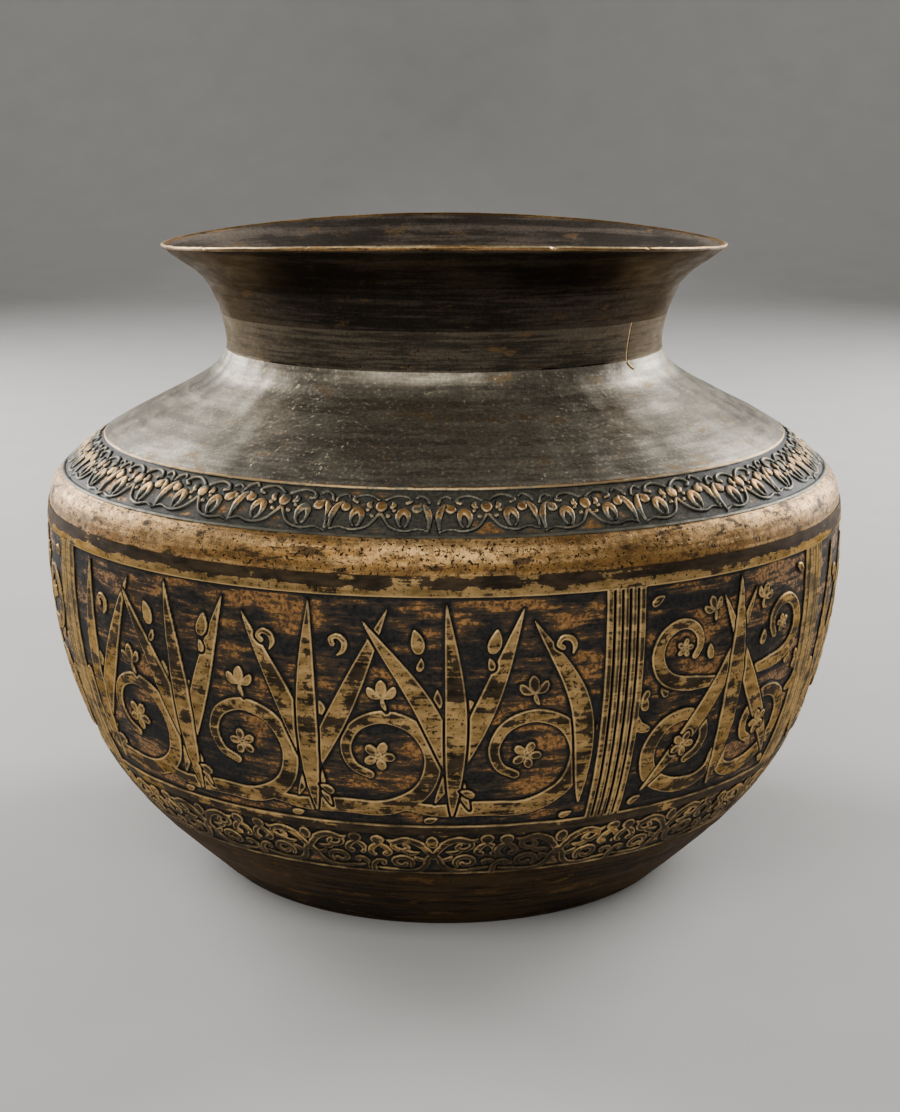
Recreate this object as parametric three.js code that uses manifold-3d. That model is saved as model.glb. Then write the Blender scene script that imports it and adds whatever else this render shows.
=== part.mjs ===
// Brass pot: a wide, round-bellied vessel with a short neck and a flared mouth.
// Millimetres, +Z up, the pot stands on z = 0 and the Z axis runs up its middle.
// Its front is towards -Y. Angles round the pot are in degrees from the front, growing towards +X.

import * as THREE from 'three';
import { mergeVertices } from 'three/addons/utils/BufferGeometryUtils.js';
import Module from 'manifold-3d';

const wasm = await Module();
wasm.setup();

// The outline of the outside, station by station from the floor to the lip.
// A lean is the way the outline runs there, in degrees: 0 is level and outward, 90 is straight up.
const footRadius = 89.5;
const footLeanAngle = 45;
const lowerBowlHeight = 45.3;
const lowerBowlInset = 19.7; // how far inside the belly's radius it lies
const lowerBowlLeanAngle = 59.4;
const bellyRadius = 150; // the widest part of the pot
const bellyRise = 80.1;
const keelRise = 22.3;
const keelInset = 2.5;
const keelLeanAngle = 110.7;
const shoulderEdgeRise = 8.2;
const shoulderEdgeInset = 9.6;
const shoulderEdgeLeanAngle = 137.3;
const shoulderRise = 28.5;
const neckRootFlareWidth = 10.4; // how far outside the neck's radius the shoulder turns upward
const neckRootLeanAngle = 149.6;
const neckRadius = 81.6; // the waist of the neck
const waistRise = 13;
const mouthBreakRise = 21.9; // where the upright neck breaks into the conical mouth
const mouthBreakFlareWidth = 6;
const mouthBreakLeanAngle = 65;
const mouthRise = 15.3;
const mouthFlareWidth = 22.2; // how far outside the neck's radius the sheet ends, under the lip band
const mouthLeanAngle = 47;

// Sheets and strips
const bowlMetalThickness = 1; // what is left of the bowl's wall where it is cut back furthest
const shoulderMetalThickness = 0.8;
const mouthThickness = 1.5;
const hoopThickness = 1.5;
const neckRingThickness = 1.2;
const baseThickness = 2.5;
const brazeGap = 0.3; // room for the brazing metal between two pieces

// The foot
const standWidth = 12; // the flat ring that the pot stands on
const baseKick = 1.8; // how far the middle of the bottom is pushed up
const baseKickWidth = 14;
const footFlangeWidth = 8; // the bowl's edge is turned in this far to lie on the base

// The hoop over the joint of bowl and shoulder
const hoopBelowJoint = 5.6;
const hoopAboveJoint = 5.2;
const jointAboveBelly = 22.2;

// The ring round the neck, and the sheets that meet behind it
const neckRingDrop = 1.9; // below the waist
const neckRingRise = 11.6; // above the waist
const neckJointRise = 4.6; // above the waist
const neckSeamAngle = 51.7;
const neckSeamWidth = 1;

// The band on the lip
const lipBandHeight = 1.6;
const lipBandRound = 0.45;
const lipNotchAngle = 19.7;
const lipNotchWidth = 0.8;

// The ornament is cut back to a ground, and the ground is filled with black lac
const groundDepth = 0.9;
const lacThickness = 0.5;
const lowerScrollBottom = 33;
const lowerScrollHeight = 18.2;
const lowerBorderHeight = 3.8; // plain metal between the lower scroll band and the panels
const upperBorderHeight = 6.7; // plain metal between the panels and the hoop
const upperScrollAboveHoop = 0.9;
const upperScrollHeight = 11.4;

// The main band is wide and narrow panels by turns, parted by upright dividers with fine reeds
const panelPairCount = 3;
const firstDividerAngle = 22.5;
const narrowPanelAngle = 36; // from divider to divider
const dividerWidth = 13.6;
const reedGrooveWidth = 0.9;
const reedGrooveDepth = 0.7;
const reedGrooveCount = 4;

// The sprays in the panels: vines that curl up, and blades that rise between them
const strokeEdgeGap = 0.5; // from the strokes to the panel's edges
const strokeTopDepth = 0.02; // how far the highest strokes lie under the wall's face
const layerStep = 0.1; // from one layer of crossing strokes to the next
const vineWidth = 6.4;
const vineEndShare = 0.5; // how wide a vine still is where it ends, against its full width
const vineSteps = 9; // straight pieces along a wide panel's vine
const narrowVineSteps = 7;
const highVineSteps = 5;
const bladeSteps = 5;
const bladeWidth = 6.8;
const bladeTipGap = 1.6; // from a blade's tip to the panel's upper edge
const bladeMiddleHeight = 45; // where a blade bends most
const curlCount = 4; // in a wide panel
const firstTuftPlace = 10; // from a wide panel's left edge to its first tuft of blades
const curlHeight = 28.5; // of a curl's middle, above the panel's lower edge
const curlKnots = 8; // that a curl's line is bent through
const curlEndRadius = 8;
const curlStartAngle = -85;
const curlSweepAngle = 330;
const narrowStemGap = 3; // from a narrow panel's middle to its low curls
const narrowCurlHeight = 24.5;
const narrowCurlEndRadius = 7;
const highVineWidth = 5.2;
const highCurlRadius = 12;
const highCurlHeight = 60;
const highCurlPlace = 24; // from a narrow panel's middle
const highCurlEndRadius = 5.5;
const highCurlSweepAngle = 300;
const crossedBladeWidth = 6.2;
const middleBladeWidth = 7.6;

// Fineness of the round pieces
const roundSteps = 48;
const outlineSamples = 24;
const cutMargin = 4; // how far a cutting shape stands clear of what it cuts

const degree = Math.PI / 180;
const brassColour = 0x9a7440;
const darkBrassColour = 0x4a4238;
const mouthColour = 0x2f2a24;
const lacColour = 0x1c1b19;

const lowerBowlRadius = bellyRadius - lowerBowlInset;
const bellyHeight = lowerBowlHeight + bellyRise;
const keelHeight = bellyHeight + keelRise;
const shoulderEdgeHeight = keelHeight + shoulderEdgeRise;
const neckRootHeight = shoulderEdgeHeight + shoulderRise;
const waistHeight = neckRootHeight + waistRise;
const mouthBreakHeight = waistHeight + mouthBreakRise;
const mouthHeight = mouthBreakHeight + mouthRise;

// A station holds its radius, its height and its lean
const stations = [
  [footRadius, 0, footLeanAngle],
  [lowerBowlRadius, lowerBowlHeight, lowerBowlLeanAngle],
  [bellyRadius, bellyHeight, 90],
  [bellyRadius - keelInset, keelHeight, keelLeanAngle],
  [bellyRadius - shoulderEdgeInset, shoulderEdgeHeight, shoulderEdgeLeanAngle],
  [neckRadius + neckRootFlareWidth, neckRootHeight, neckRootLeanAngle],
  [neckRadius, waistHeight, 90],
  [neckRadius + mouthBreakFlareWidth, mouthBreakHeight, mouthBreakLeanAngle],
  [neckRadius + mouthFlareWidth, mouthHeight, mouthLeanAngle],
];

// One smooth stretch between two stations. Its handles point along the leans.
function stationCurve(from, to) {
  const start = new THREE.Vector2(from[0], from[1]);
  const end = new THREE.Vector2(to[0], to[1]);
  const handle = start.distanceTo(end) / 3;
  const leave = new THREE.Vector2(Math.cos(from[2] * degree), Math.sin(from[2] * degree));
  const arrive = new THREE.Vector2(Math.cos(to[2] * degree), Math.sin(to[2] * degree));
  return new THREE.CubicBezierCurve(
    start,
    start.clone().addScaledVector(leave, handle),
    end.clone().addScaledVector(arrive, -handle),
    end,
  );
}

const outline = new THREE.CurvePath();
for (let i = 1; i < stations.length; i += 1) {
  outline.add(stationCurve(stations[i - 1], stations[i]));
}

// The outline as samples, each with the distance run, and the outward normal
const samples = [];
for (const curve of outline.curves) {
  const first = samples.length === 0 ? 0 : 1;
  for (let i = first; i <= outlineSamples; i += 1) {
    const t = i / outlineSamples;
    const point = curve.getPoint(t);
    const tangent = curve.getTangent(t);
    const before = samples[samples.length - 1];
    const run = before ? before.run + point.distanceTo(before.point) : 0;
    samples.push({ point, normal: new THREE.Vector2(tangent.y, -tangent.x), run });
  }
}

// Interpolates the samples where one of their measures reaches a value
function sampleWhere(measure, value) {
  let i = 1;
  while (i < samples.length - 1 && measure(samples[i]) < value) {
    i += 1;
  }
  const a = samples[i - 1];
  const b = samples[i];
  const share = (value - measure(a)) / (measure(b) - measure(a));
  return {
    point: a.point.clone().lerp(b.point, share),
    normal: a.normal.clone().lerp(b.normal, share).normalize(),
    run: a.run + (b.run - a.run) * share,
  };
}

// Points of the outline between two heights, moved out along the normal by a distance
function stretch(lowHeight, highHeight, steps, distance) {
  const low = sampleWhere((sample) => sample.point.y, lowHeight).run;
  const high = sampleWhere((sample) => sample.point.y, highHeight).run;
  const points = [];
  for (let i = 0; i <= steps; i += 1) {
    const sample = sampleWhere((one) => one.run, low + ((high - low) * i) / steps);
    points.push(sample.point.clone().addScaledVector(sample.normal, distance));
  }
  return points;
}

// A strip of even thickness that follows the outline between two heights
function strip(lowHeight, highHeight, steps, outer, inner) {
  const outside = stretch(lowHeight, highHeight, steps, outer);
  const inside = stretch(lowHeight, highHeight, steps, inner);
  return [...outside, ...inside.reverse()];
}

// Turns a closed outline round the Z axis
function turned(points) {
  const closed = [...points, points[0]];
  return new THREE.LatheGeometry(closed, roundSteps).rotateX(Math.PI / 2);
}

function toSolid(geometry) {
  const bare = geometry.clone();
  bare.deleteAttribute('normal');
  bare.deleteAttribute('uv');
  const merged = mergeVertices(bare, 1e-4);
  return new wasm.Manifold(new wasm.Mesh({
    numProp: 3,
    vertProperties: new Float32Array(merged.attributes.position.array),
    triVerts: new Uint32Array(merged.index.array),
  }));
}

function toGeometry(solid) {
  const mesh = solid.getMesh();
  const geometry = new THREE.BufferGeometry();
  geometry.setAttribute('position', new THREE.BufferAttribute(mesh.vertProperties, 3));
  geometry.setIndex(new THREE.BufferAttribute(mesh.triVerts, 1));
  geometry.computeVertexNormals();
  return geometry;
}

// A wedge of space between two angles, from the axis out past the belly
function wedge(fromAngle, toAngle, lowHeight, highHeight) {
  const reach = 2 * bellyRadius;
  const shape = new THREE.Shape();
  const steps = 4;
  shape.moveTo(0, 0);
  for (let i = 0; i <= steps; i += 1) {
    const angle = (fromAngle + ((toAngle - fromAngle) * i) / steps) * degree;
    shape.lineTo(reach * Math.sin(angle), -reach * Math.cos(angle));
  }
  shape.closePath();
  const geometry = new THREE.ExtrudeGeometry(shape, {
    depth: highHeight - lowHeight,
    bevelEnabled: false,
  });
  return toSolid(geometry.translate(0, 0, lowHeight));
}

// An upright slab of even width that runs from the axis outward at one angle
function slab(angle, width, lowHeight, highHeight) {
  const reach = 2 * bellyRadius;
  const geometry = new THREE.BoxGeometry(width, reach, highHeight - lowHeight);
  geometry.translate(0, -reach / 2, (lowHeight + highHeight) / 2);
  return toSolid(geometry.rotateZ(angle * degree));
}

// The angle that a width takes up on the outline at a height
function widthAngle(width, height) {
  return width / sampleWhere((sample) => sample.point.y, height).point.x / degree;
}

const group = new THREE.Group();

function addPiece(name, geometry, color, roughness, metalness) {
  const material = new THREE.MeshStandardMaterial({ color, roughness, metalness });
  const mesh = new THREE.Mesh(geometry, material);
  mesh.name = name;
  group.add(mesh);
}

// How deep each rebate and channel goes, and the walls that hold them
const channelDepth = groundDepth + lacThickness + brazeGap;
const hoopSeatDepth = hoopThickness + brazeGap;
const neckSeatDepth = neckRingThickness + brazeGap;
const bowlThickness = Math.max(channelDepth, hoopSeatDepth) + bowlMetalThickness;
const shoulderThickness = Math.max(channelDepth, hoopSeatDepth, neckSeatDepth) + shoulderMetalThickness;
const lacOuter = -groundDepth;
const lacInner = -groundDepth - lacThickness;

// Base: a round disc with its middle pushed up, so that it stands on a flat ring
const baseTop = sampleWhere((sample) => sample.point.y, baseThickness).point;
const standInner = footRadius - standWidth;
const kickInner = standInner - baseKickWidth;
const basePoints = [
  new THREE.Vector2(0, baseKick),
  new THREE.Vector2(kickInner, baseKick),
  new THREE.Vector2(standInner, 0),
  new THREE.Vector2(footRadius, 0),
  baseTop,
  new THREE.Vector2(standInner, baseThickness),
  new THREE.Vector2(kickInner, baseThickness + baseKick),
  new THREE.Vector2(0, baseThickness + baseKick),
];
const baseGeometry = new THREE.LatheGeometry(basePoints, roundSteps).rotateX(Math.PI / 2);
addPiece('base_disc', baseGeometry, darkBrassColour, 0.5, 0.9);

// Bowl: one raised wall from the base to the hoop, turned in at its foot
const wallFoot = baseThickness + brazeGap;
const jointHeight = bellyHeight + jointAboveBelly;
const hoopBottom = jointHeight - hoopBelowJoint;
const hoopTop = jointHeight + hoopAboveJoint;
const bowlTop = jointHeight - brazeGap / 2;
const lowerScrollTop = lowerScrollBottom + lowerScrollHeight;
const wallFootOuter = sampleWhere((sample) => sample.point.y, wallFoot).point;
const bowlInside = stretch(wallFoot, bowlTop, 8, -bowlThickness);
const flangeInner = wallFootOuter.x - footFlangeWidth;
const bowlPoints = [
  new THREE.Vector2(flangeInner, bowlInside[0].y),
  new THREE.Vector2(flangeInner, wallFoot),
  ...stretch(wallFoot, lowerScrollBottom, 3, 0),
  ...stretch(lowerScrollBottom, lowerScrollTop, 2, -channelDepth),
  ...stretch(lowerScrollTop, hoopBottom, 8, 0),
  ...stretch(hoopBottom, bowlTop, 2, -hoopSeatDepth),
  ...bowlInside.reverse(),
];

// The panels are cut back in the wall, and the metal between them stands as dividers
const panelBottom = lowerScrollTop + lowerBorderHeight;
const panelTop = hoopBottom - upperBorderHeight;
const panelMiddle = (panelBottom + panelTop) / 2;
const halfDivider = widthAngle(dividerWidth, panelMiddle) / 2;
const seatAngle = widthAngle(brazeGap, panelMiddle);
const cutLow = panelBottom - cutMargin;
const cutHigh = panelTop + cutMargin;
const panelCut = toSolid(turned(strip(panelBottom, panelTop, 4, cutMargin, -channelDepth)));
const grooveCut = toSolid(turned(strip(panelBottom, panelTop, 4, cutMargin, -reedGrooveDepth)));
const pairAngle = 360 / panelPairCount;
const dividerAngles = [];
const panels = [];
for (let i = 0; i < panelPairCount; i += 1) {
  const narrowFrom = firstDividerAngle + i * pairAngle;
  const narrowTo = narrowFrom + narrowPanelAngle;
  const wideTo = narrowFrom + pairAngle;
  dividerAngles.push(narrowFrom, narrowTo);
  panels.push({ name: `narrow_panel_lac_${i + 1}`, wide: false, from: narrowFrom, to: narrowTo });
  panels.push({ name: `wide_panel_lac_${i + 1}`, wide: true, from: narrowTo, to: wideTo });
}
for (const panel of panels) {
  panel.from += halfDivider;
  panel.to -= halfDivider;
}

let bowl = toSolid(turned(bowlPoints));
for (const panel of panels) {
  bowl = bowl.subtract(panelCut.intersect(wedge(panel.from, panel.to, cutLow, cutHigh)));
}
const reedPitch = dividerWidth / (reedGrooveCount + 1);
for (const angle of dividerAngles) {
  for (let i = 0; i < reedGrooveCount; i += 1) {
    const shift = (i - (reedGrooveCount - 1) / 2) * reedPitch;
    const grooveAngle = angle + widthAngle(shift, panelMiddle);
    const groove = slab(grooveAngle, reedGrooveWidth, cutLow, cutHigh);
    bowl = bowl.subtract(grooveCut.intersect(groove));
  }
}
addPiece('bowl_wall', toGeometry(bowl), brassColour, 0.42, 0.95);

// Black lac in the panels and in the lower scroll band
const lacBottom = panelBottom + brazeGap;
const lacTop = panelTop - brazeGap;
const panelLac = toSolid(turned(strip(lacBottom, lacTop, 4, lacOuter, lacInner)));
for (const panel of panels) {
  const between = wedge(panel.from + seatAngle, panel.to - seatAngle, cutLow, cutHigh);
  addPiece(panel.name, toGeometry(panelLac.intersect(between)), lacColour, 0.75, 0);
}

// A stroke is a line in mm from the panel's lower left corner, with its half width at each point.
// A vine comes in along its roots and curls up round a middle, thinner towards its end.
function vine(width, steps, roots, middle, radius, endRadius, sweepAngle) {
  const knots = roots.map(([x, y]) => new THREE.Vector2(x, y));
  for (let i = 0; i <= curlKnots; i += 1) {
    const share = i / curlKnots;
    const turn = (curlStartAngle + sweepAngle * share) * degree;
    const reach = radius + (endRadius - radius) * share;
    knots.push(new THREE.Vector2(middle[0] + reach * Math.cos(turn), middle[1] + reach * Math.sin(turn)));
  }
  const line = new THREE.SplineCurve(knots).getSpacedPoints(steps);
  const halfWidths = line.map((point, i) => {
    const share = i / steps;
    const swell = Math.min(1, 0.6 + 2 * share);
    const taper = 1 - (1 - vineEndShare) * Math.max(0, share - 0.4) / 0.6;
    return (width / 2) * swell * taper;
  });
  return { layer: 3, line, halfWidths };
}

// A blade swells from its base and ends in a point
function blade(layer, width, base, middle, tip) {
  const knots = [base, middle, tip].map(([x, y]) => new THREE.Vector2(x, y));
  const line = new THREE.SplineCurve(knots).getSpacedPoints(bladeSteps);
  const pointedHalf = 0.15;
  const halfWidths = line.map((point, i) => {
    const share = (i / bladeSteps) ** 0.86;
    return pointedHalf + (width / 2) * Math.max(0, Math.sin(Math.PI * share)) ** 0.9;
  });
  return { layer, line, halfWidths };
}

// The same stroke on the other side of an upright line
function mirroredStroke(stroke, place) {
  const line = stroke.line.map((point) => new THREE.Vector2(2 * place - point.x, point.y)).reverse();
  const layer = stroke.layer === 1 ? 2 : stroke.layer;
  return { layer, line, halfWidths: [...stroke.halfWidths].reverse() };
}

// A row of curls with a tuft of three blades between each two. The leans differ from tuft to tuft.
const leftTipLeans = [0, -24, -20, -28, -23];
const rightTipLeans = [27, 21, 28, 22];
const middleTipLeans = [4, -3, 3, -2];

function wideSpray(width, height) {
  const pitch = (width - firstTuftPlace - strokeEdgeGap) / curlCount;
  const radius = (pitch - vineWidth) / 2;
  const low = curlHeight - radius;
  const strokes = [];
  for (let i = 0; i < curlCount; i += 1) {
    const middle = firstTuftPlace + (i + 0.5) * pitch;
    const roots = i === 0
      ? [[3, curlHeight + 9], [3.5, low + 12], [middle - 25, low + 3]]
      : [[middle - 42, low + 1.6], [middle - 29, low - 0.8]];
    roots.push([middle - 14, low]);
    const curlMiddle = [middle, curlHeight];
    strokes.push(vine(vineWidth, vineSteps, roots, curlMiddle, radius, curlEndRadius, curlSweepAngle));
  }
  for (let i = 0; i <= curlCount; i += 1) {
    const place = firstTuftPlace + i * pitch;
    const tip = height - bladeTipGap;
    if (i > 0) {
      const lean = leftTipLeans[i];
      const base = Math.min(place + 6, width - 4);
      const bend = [place + 0.3 * lean, bladeMiddleHeight];
      strokes.push(blade(1, bladeWidth, [base, 7], bend, [place + lean, tip - 6]));
    }
    if (i < curlCount) {
      const lean = rightTipLeans[i];
      const bend = [place + 0.45 * lean, bladeMiddleHeight];
      strokes.push(blade(2, bladeWidth, [place - 6, 10], bend, [place + lean, tip - 2]));
      const topPlace = place + middleTipLeans[i];
      strokes.push(blade(0, bladeWidth, [place, 4], [place + 1, bladeMiddleHeight], [topPlace, tip]));
    }
  }
  return strokes;
}

// Two low curls and two high ones on either side of a middle blade, with two blades crossed over them
function narrowSpray(width, height) {
  const middle = width / 2;
  const radius = (middle - vineWidth / 2 - narrowStemGap - strokeEdgeGap) / 2;
  const place = middle + narrowStemGap + radius;
  const low = narrowCurlHeight - radius;
  const lowRoots = [[middle + 2.5, low + 10], [middle + 3.5, low + 3], [place - 9, low - 1]];
  const highPlace = middle + highCurlPlace;
  const highLow = highCurlHeight - highCurlRadius;
  const highRoots = [[middle + 6, highLow - 1.5], [middle + 13, highLow - 1.5]];
  const lowMiddle = [place, narrowCurlHeight];
  const highMiddle = [highPlace, highCurlHeight];
  const highSizes = [highCurlRadius, highCurlEndRadius, highCurlSweepAngle];
  const tip = height - bladeTipGap;
  const crossedBend = [middle + 9, bladeMiddleHeight - 3];
  const half = [
    vine(vineWidth, narrowVineSteps, lowRoots, lowMiddle, radius, narrowCurlEndRadius, curlSweepAngle),
    vine(highVineWidth, highVineSteps, highRoots, highMiddle, ...highSizes),
    blade(1, crossedBladeWidth, [middle + 33, 8], crossedBend, [middle - 8, tip - 5]),
  ];
  const uprightBend = [middle + 0.3, bladeMiddleHeight - 5];
  const upright = blade(0, middleBladeWidth, [middle, 3], uprightBend, [middle, tip]);
  return [...half, ...half.map((stroke) => mirroredStroke(stroke, middle)), upright];
}

// The place in space of a point of a panel, moved out from the wall by a distance
const panelRun = sampleWhere((sample) => sample.point.y, panelBottom).run;
const panelHeight = sampleWhere((sample) => sample.point.y, panelTop).run - panelRun;
const panelRadius = sampleWhere((sample) => sample.point.y, panelMiddle).point.x;

function onPanel(point, fromAngle, distance) {
  const sample = sampleWhere((one) => one.run, panelRun + point.y);
  const spot = sample.point.clone().addScaledVector(sample.normal, distance);
  const angle = fromAngle * degree + point.x / panelRadius;
  return [spot.x * Math.sin(angle), -spot.x * Math.cos(angle), spot.y];
}

// A stroke as a flat ridge that follows the wall's face. Strokes of one layer top out together, and
// the undersides of two layers lie half a step apart, so that no two faces of crossing strokes meet.
function strokeSolid(stroke, fromAngle) {
  const { line, halfWidths } = stroke;
  const outward = -strokeTopDepth - layerStep * stroke.layer;
  const inward = brazeGap - groundDepth + layerStep * (2 - stroke.layer) / 2;
  const corners = [];
  const faces = [[0, 3, 2], [0, 2, 1]];
  line.forEach((point, i) => {
    const before = line[Math.max(0, i - 1)];
    const after = line[Math.min(line.length - 1, i + 1)];
    const along = after.clone().sub(before).normalize();
    const side = new THREE.Vector2(-along.y, along.x).multiplyScalar(halfWidths[i]);
    const right = point.clone().sub(side);
    const left = point.clone().add(side);
    corners.push(onPanel(right, fromAngle, inward), onPanel(left, fromAngle, inward));
    corners.push(onPanel(left, fromAngle, outward), onPanel(right, fromAngle, outward));
    if (i > 0) {
      const start = 4 * (i - 1);
      for (let k = 0; k < 4; k += 1) {
        const next = (k + 1) % 4;
        faces.push([start + k, start + next, start + 4 + next]);
        faces.push([start + k, start + 4 + next, start + 4 + k]);
      }
    }
  });
  const last = 4 * (line.length - 1);
  faces.push([last, last + 1, last + 2], [last, last + 2, last + 3]);
  const geometry = new THREE.BufferGeometry();
  geometry.setAttribute('position', new THREE.Float32BufferAttribute(corners.flat(), 3));
  geometry.setIndex(faces.flat());
  return toSolid(geometry);
}

// The spray of each panel is one piece
for (const panel of panels) {
  const width = (panel.to - panel.from) * degree * panelRadius;
  const strokes = panel.wide ? wideSpray(width, panelHeight) : narrowSpray(width, panelHeight);
  const solids = strokes.map((stroke) => strokeSolid(stroke, panel.from));
  const spray = solids.reduce((sum, solid) => sum.add(solid));
  addPiece(panel.name.replace('lac', 'spray'), toGeometry(spray), brassColour, 0.42, 0.95);
}

const lowerLac = strip(lowerScrollBottom + brazeGap, lowerScrollTop - brazeGap, 2, lacOuter, lacInner);
addPiece('lower_scroll_lac', turned(lowerLac), lacColour, 0.75, 0);

// Keel hoop: a round-backed hoop over the joint of bowl and shoulder
const hoopLow = hoopBottom + brazeGap;
const hoopHigh = hoopTop - brazeGap;
addPiece('keel_hoop', turned(strip(hoopLow, hoopHigh, 4, 0, -hoopThickness)), brassColour, 0.35, 1);

// Shoulder: a flattened dome from the hoop to the neck, turned up behind the neck ring
const shoulderBottom = jointHeight + brazeGap / 2;
const upperScrollBottom = hoopTop + upperScrollAboveHoop;
const upperScrollTop = upperScrollBottom + upperScrollHeight;
const neckRingBottom = waistHeight - neckRingDrop;
const neckRingTop = waistHeight + neckRingRise;
const neckJoint = waistHeight + neckJointRise;
const shoulderTop = neckJoint - brazeGap / 2;
const shoulderPoints = [
  ...stretch(shoulderBottom, hoopTop, 2, -hoopSeatDepth),
  ...stretch(hoopTop, upperScrollBottom, 1, 0),
  ...stretch(upperScrollBottom, upperScrollTop, 2, -channelDepth),
  ...stretch(upperScrollTop, neckRingBottom - brazeGap, 6, 0),
  ...stretch(neckRingBottom, shoulderTop, 2, -neckSeatDepth),
  ...stretch(shoulderBottom, shoulderTop, 8, -shoulderThickness).reverse(),
];
addPiece('shoulder_shell', turned(shoulderPoints), darkBrassColour, 0.45, 0.9);

const upperLac = strip(upperScrollBottom + brazeGap, upperScrollTop - brazeGap, 2, lacOuter, lacInner);
addPiece('upper_scroll_lac', turned(upperLac), lacColour, 0.75, 0);

// Neck ring: a rolled strip round the neck's joint, its two ends closed by a run of braze
const ringSolid = toSolid(turned(strip(neckRingBottom, neckRingTop, 3, 0, -neckRingThickness)));
const seamCutWidth = neckSeamWidth + 2 * brazeGap;
const seamLow = neckRingBottom - cutMargin;
const seamHigh = neckRingTop + cutMargin;
const neckRing = ringSolid.subtract(slab(neckSeamAngle, seamCutWidth, seamLow, seamHigh));
addPiece('neck_ring', toGeometry(neckRing), darkBrassColour, 0.45, 0.9);
const seamBraze = ringSolid.intersect(slab(neckSeamAngle, neckSeamWidth, seamLow, seamHigh));
addPiece('neck_seam_braze', toGeometry(seamBraze), brassColour, 0.4, 1);

// Mouth: the flared sheet, its lower edge standing on the shoulder's behind the neck ring
const mouthBottom = neckJoint + brazeGap / 2;
const mouthEmerges = neckRingTop + brazeGap;
const mouthPoints = [
  ...stretch(mouthBottom, neckRingTop, 2, -neckSeatDepth),
  ...stretch(mouthEmerges, mouthHeight, 5, 0),
  ...stretch(mouthEmerges + mouthThickness, mouthHeight, 4, -mouthThickness).reverse(),
  ...stretch(mouthBottom, mouthEmerges, 2, -neckSeatDepth - mouthThickness).reverse(),
];
addPiece('mouth_flare', turned(mouthPoints), mouthColour, 0.5, 0.85);

// Lip band: a rounded strip brazed along the mouth's edge, its ends butted at a small notch
const lipEdge = sampleWhere((sample) => sample.point.y, mouthHeight);
const lipAlong = new THREE.Vector2(-lipEdge.normal.y, lipEdge.normal.x);
const lipInside = -mouthThickness;
const lipRound = Math.min(lipBandRound, mouthThickness / 3, lipBandHeight / 3);
const lipPoints = [
  [brazeGap, 0],
  [brazeGap + lipBandHeight - lipRound, 0],
  [brazeGap + lipBandHeight, -lipRound],
  [brazeGap + lipBandHeight, lipInside + lipRound],
  [brazeGap + lipBandHeight - lipRound, lipInside],
  [brazeGap, lipInside],
].map(([along, out]) => lipEdge.point.clone()
  .addScaledVector(lipAlong, along)
  .addScaledVector(lipEdge.normal, out));
const lipRing = toSolid(turned(lipPoints));
const lipNotch = slab(lipNotchAngle, lipNotchWidth, mouthHeight - cutMargin, mouthHeight + cutMargin);
addPiece('lip_band', toGeometry(lipRing.subtract(lipNotch)), brassColour, 0.3, 1);

export default group;
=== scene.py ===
# %% [markdown]
# # A brass pot with scroll bands and a leaf arabesque
# This is a wide, round-bellied pot, hammered up from sheet brass, with a short neck and a
# flared mouth. Its ornament was cut back to a ground, and the ground was filled with black lac.
# Long use rubbed the high places bright, and the rest kept its dark patina.
# We dress a measured frame, piece by piece, and never move or resize the frame itself.

# %% Load the frame
import math
from functools import partial

import bpy
import numpy as np
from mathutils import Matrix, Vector


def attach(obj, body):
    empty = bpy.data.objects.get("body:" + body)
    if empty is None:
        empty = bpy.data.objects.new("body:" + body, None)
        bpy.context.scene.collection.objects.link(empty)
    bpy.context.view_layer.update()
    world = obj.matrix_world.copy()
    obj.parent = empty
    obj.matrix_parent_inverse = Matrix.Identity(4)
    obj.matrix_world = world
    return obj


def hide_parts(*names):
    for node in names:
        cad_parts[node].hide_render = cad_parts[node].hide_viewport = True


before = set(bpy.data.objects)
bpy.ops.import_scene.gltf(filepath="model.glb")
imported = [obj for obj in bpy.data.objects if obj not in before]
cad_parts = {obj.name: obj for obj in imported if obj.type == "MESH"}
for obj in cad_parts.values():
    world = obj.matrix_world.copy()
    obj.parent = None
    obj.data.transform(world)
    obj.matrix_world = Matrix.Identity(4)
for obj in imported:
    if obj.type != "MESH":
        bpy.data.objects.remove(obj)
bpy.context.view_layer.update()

MM = 0.001

# %% [markdown]
# ## The outline
# A pot is a turned form, so one outline carries everything. We could trace it as many points,
# but a smith thinks of it in stations: foot, lower bowl, belly, keel, shoulder, neck and mouth.
# Each station has a radius, a height and the way that the wall leans there, in degrees
# (0 is level and outward, 90 is straight up), and a smooth curve joins it to the next.

# %% The stations, in millimetres and degrees
FOOT = (89.5, 0.0, 45.0)
LOWER_BOWL = (130.3, 45.3, 59.4)
BELLY = (150.0, 125.4, 90.0)
KEEL = (147.5, 147.7, 110.7)
SHOULDER_EDGE = (140.4, 155.9, 137.3)
NECK_ROOT = (92.0, 184.4, 149.6)
WAIST = (81.6, 197.4, 90.0)
MOUTH_BREAK = (87.6, 219.3, 65.0)
MOUTH = (103.8, 234.6, 47.0)
STATIONS = [FOOT, LOWER_BOWL, BELLY, KEEL, SHOULDER_EDGE, NECK_ROOT, WAIST, MOUTH_BREAK, MOUTH]
SAMPLES_PER_STRETCH = 60


def stretch(start, end):
    """One smooth stretch of the outline. Its handles point along the two leans."""
    a, d = complex(*start[:2]), complex(*end[:2])
    handle = abs(d - a) / 3
    b = a + handle * np.exp(1j * math.radians(start[2]))
    c = d - handle * np.exp(1j * math.radians(end[2]))
    t = np.linspace(0, 1, SAMPLES_PER_STRETCH + 1)
    return a * (1 - t)**3 + 3 * b * t * (1 - t)**2 + 3 * c * t**2 * (1 - t) + d * t**3


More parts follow.
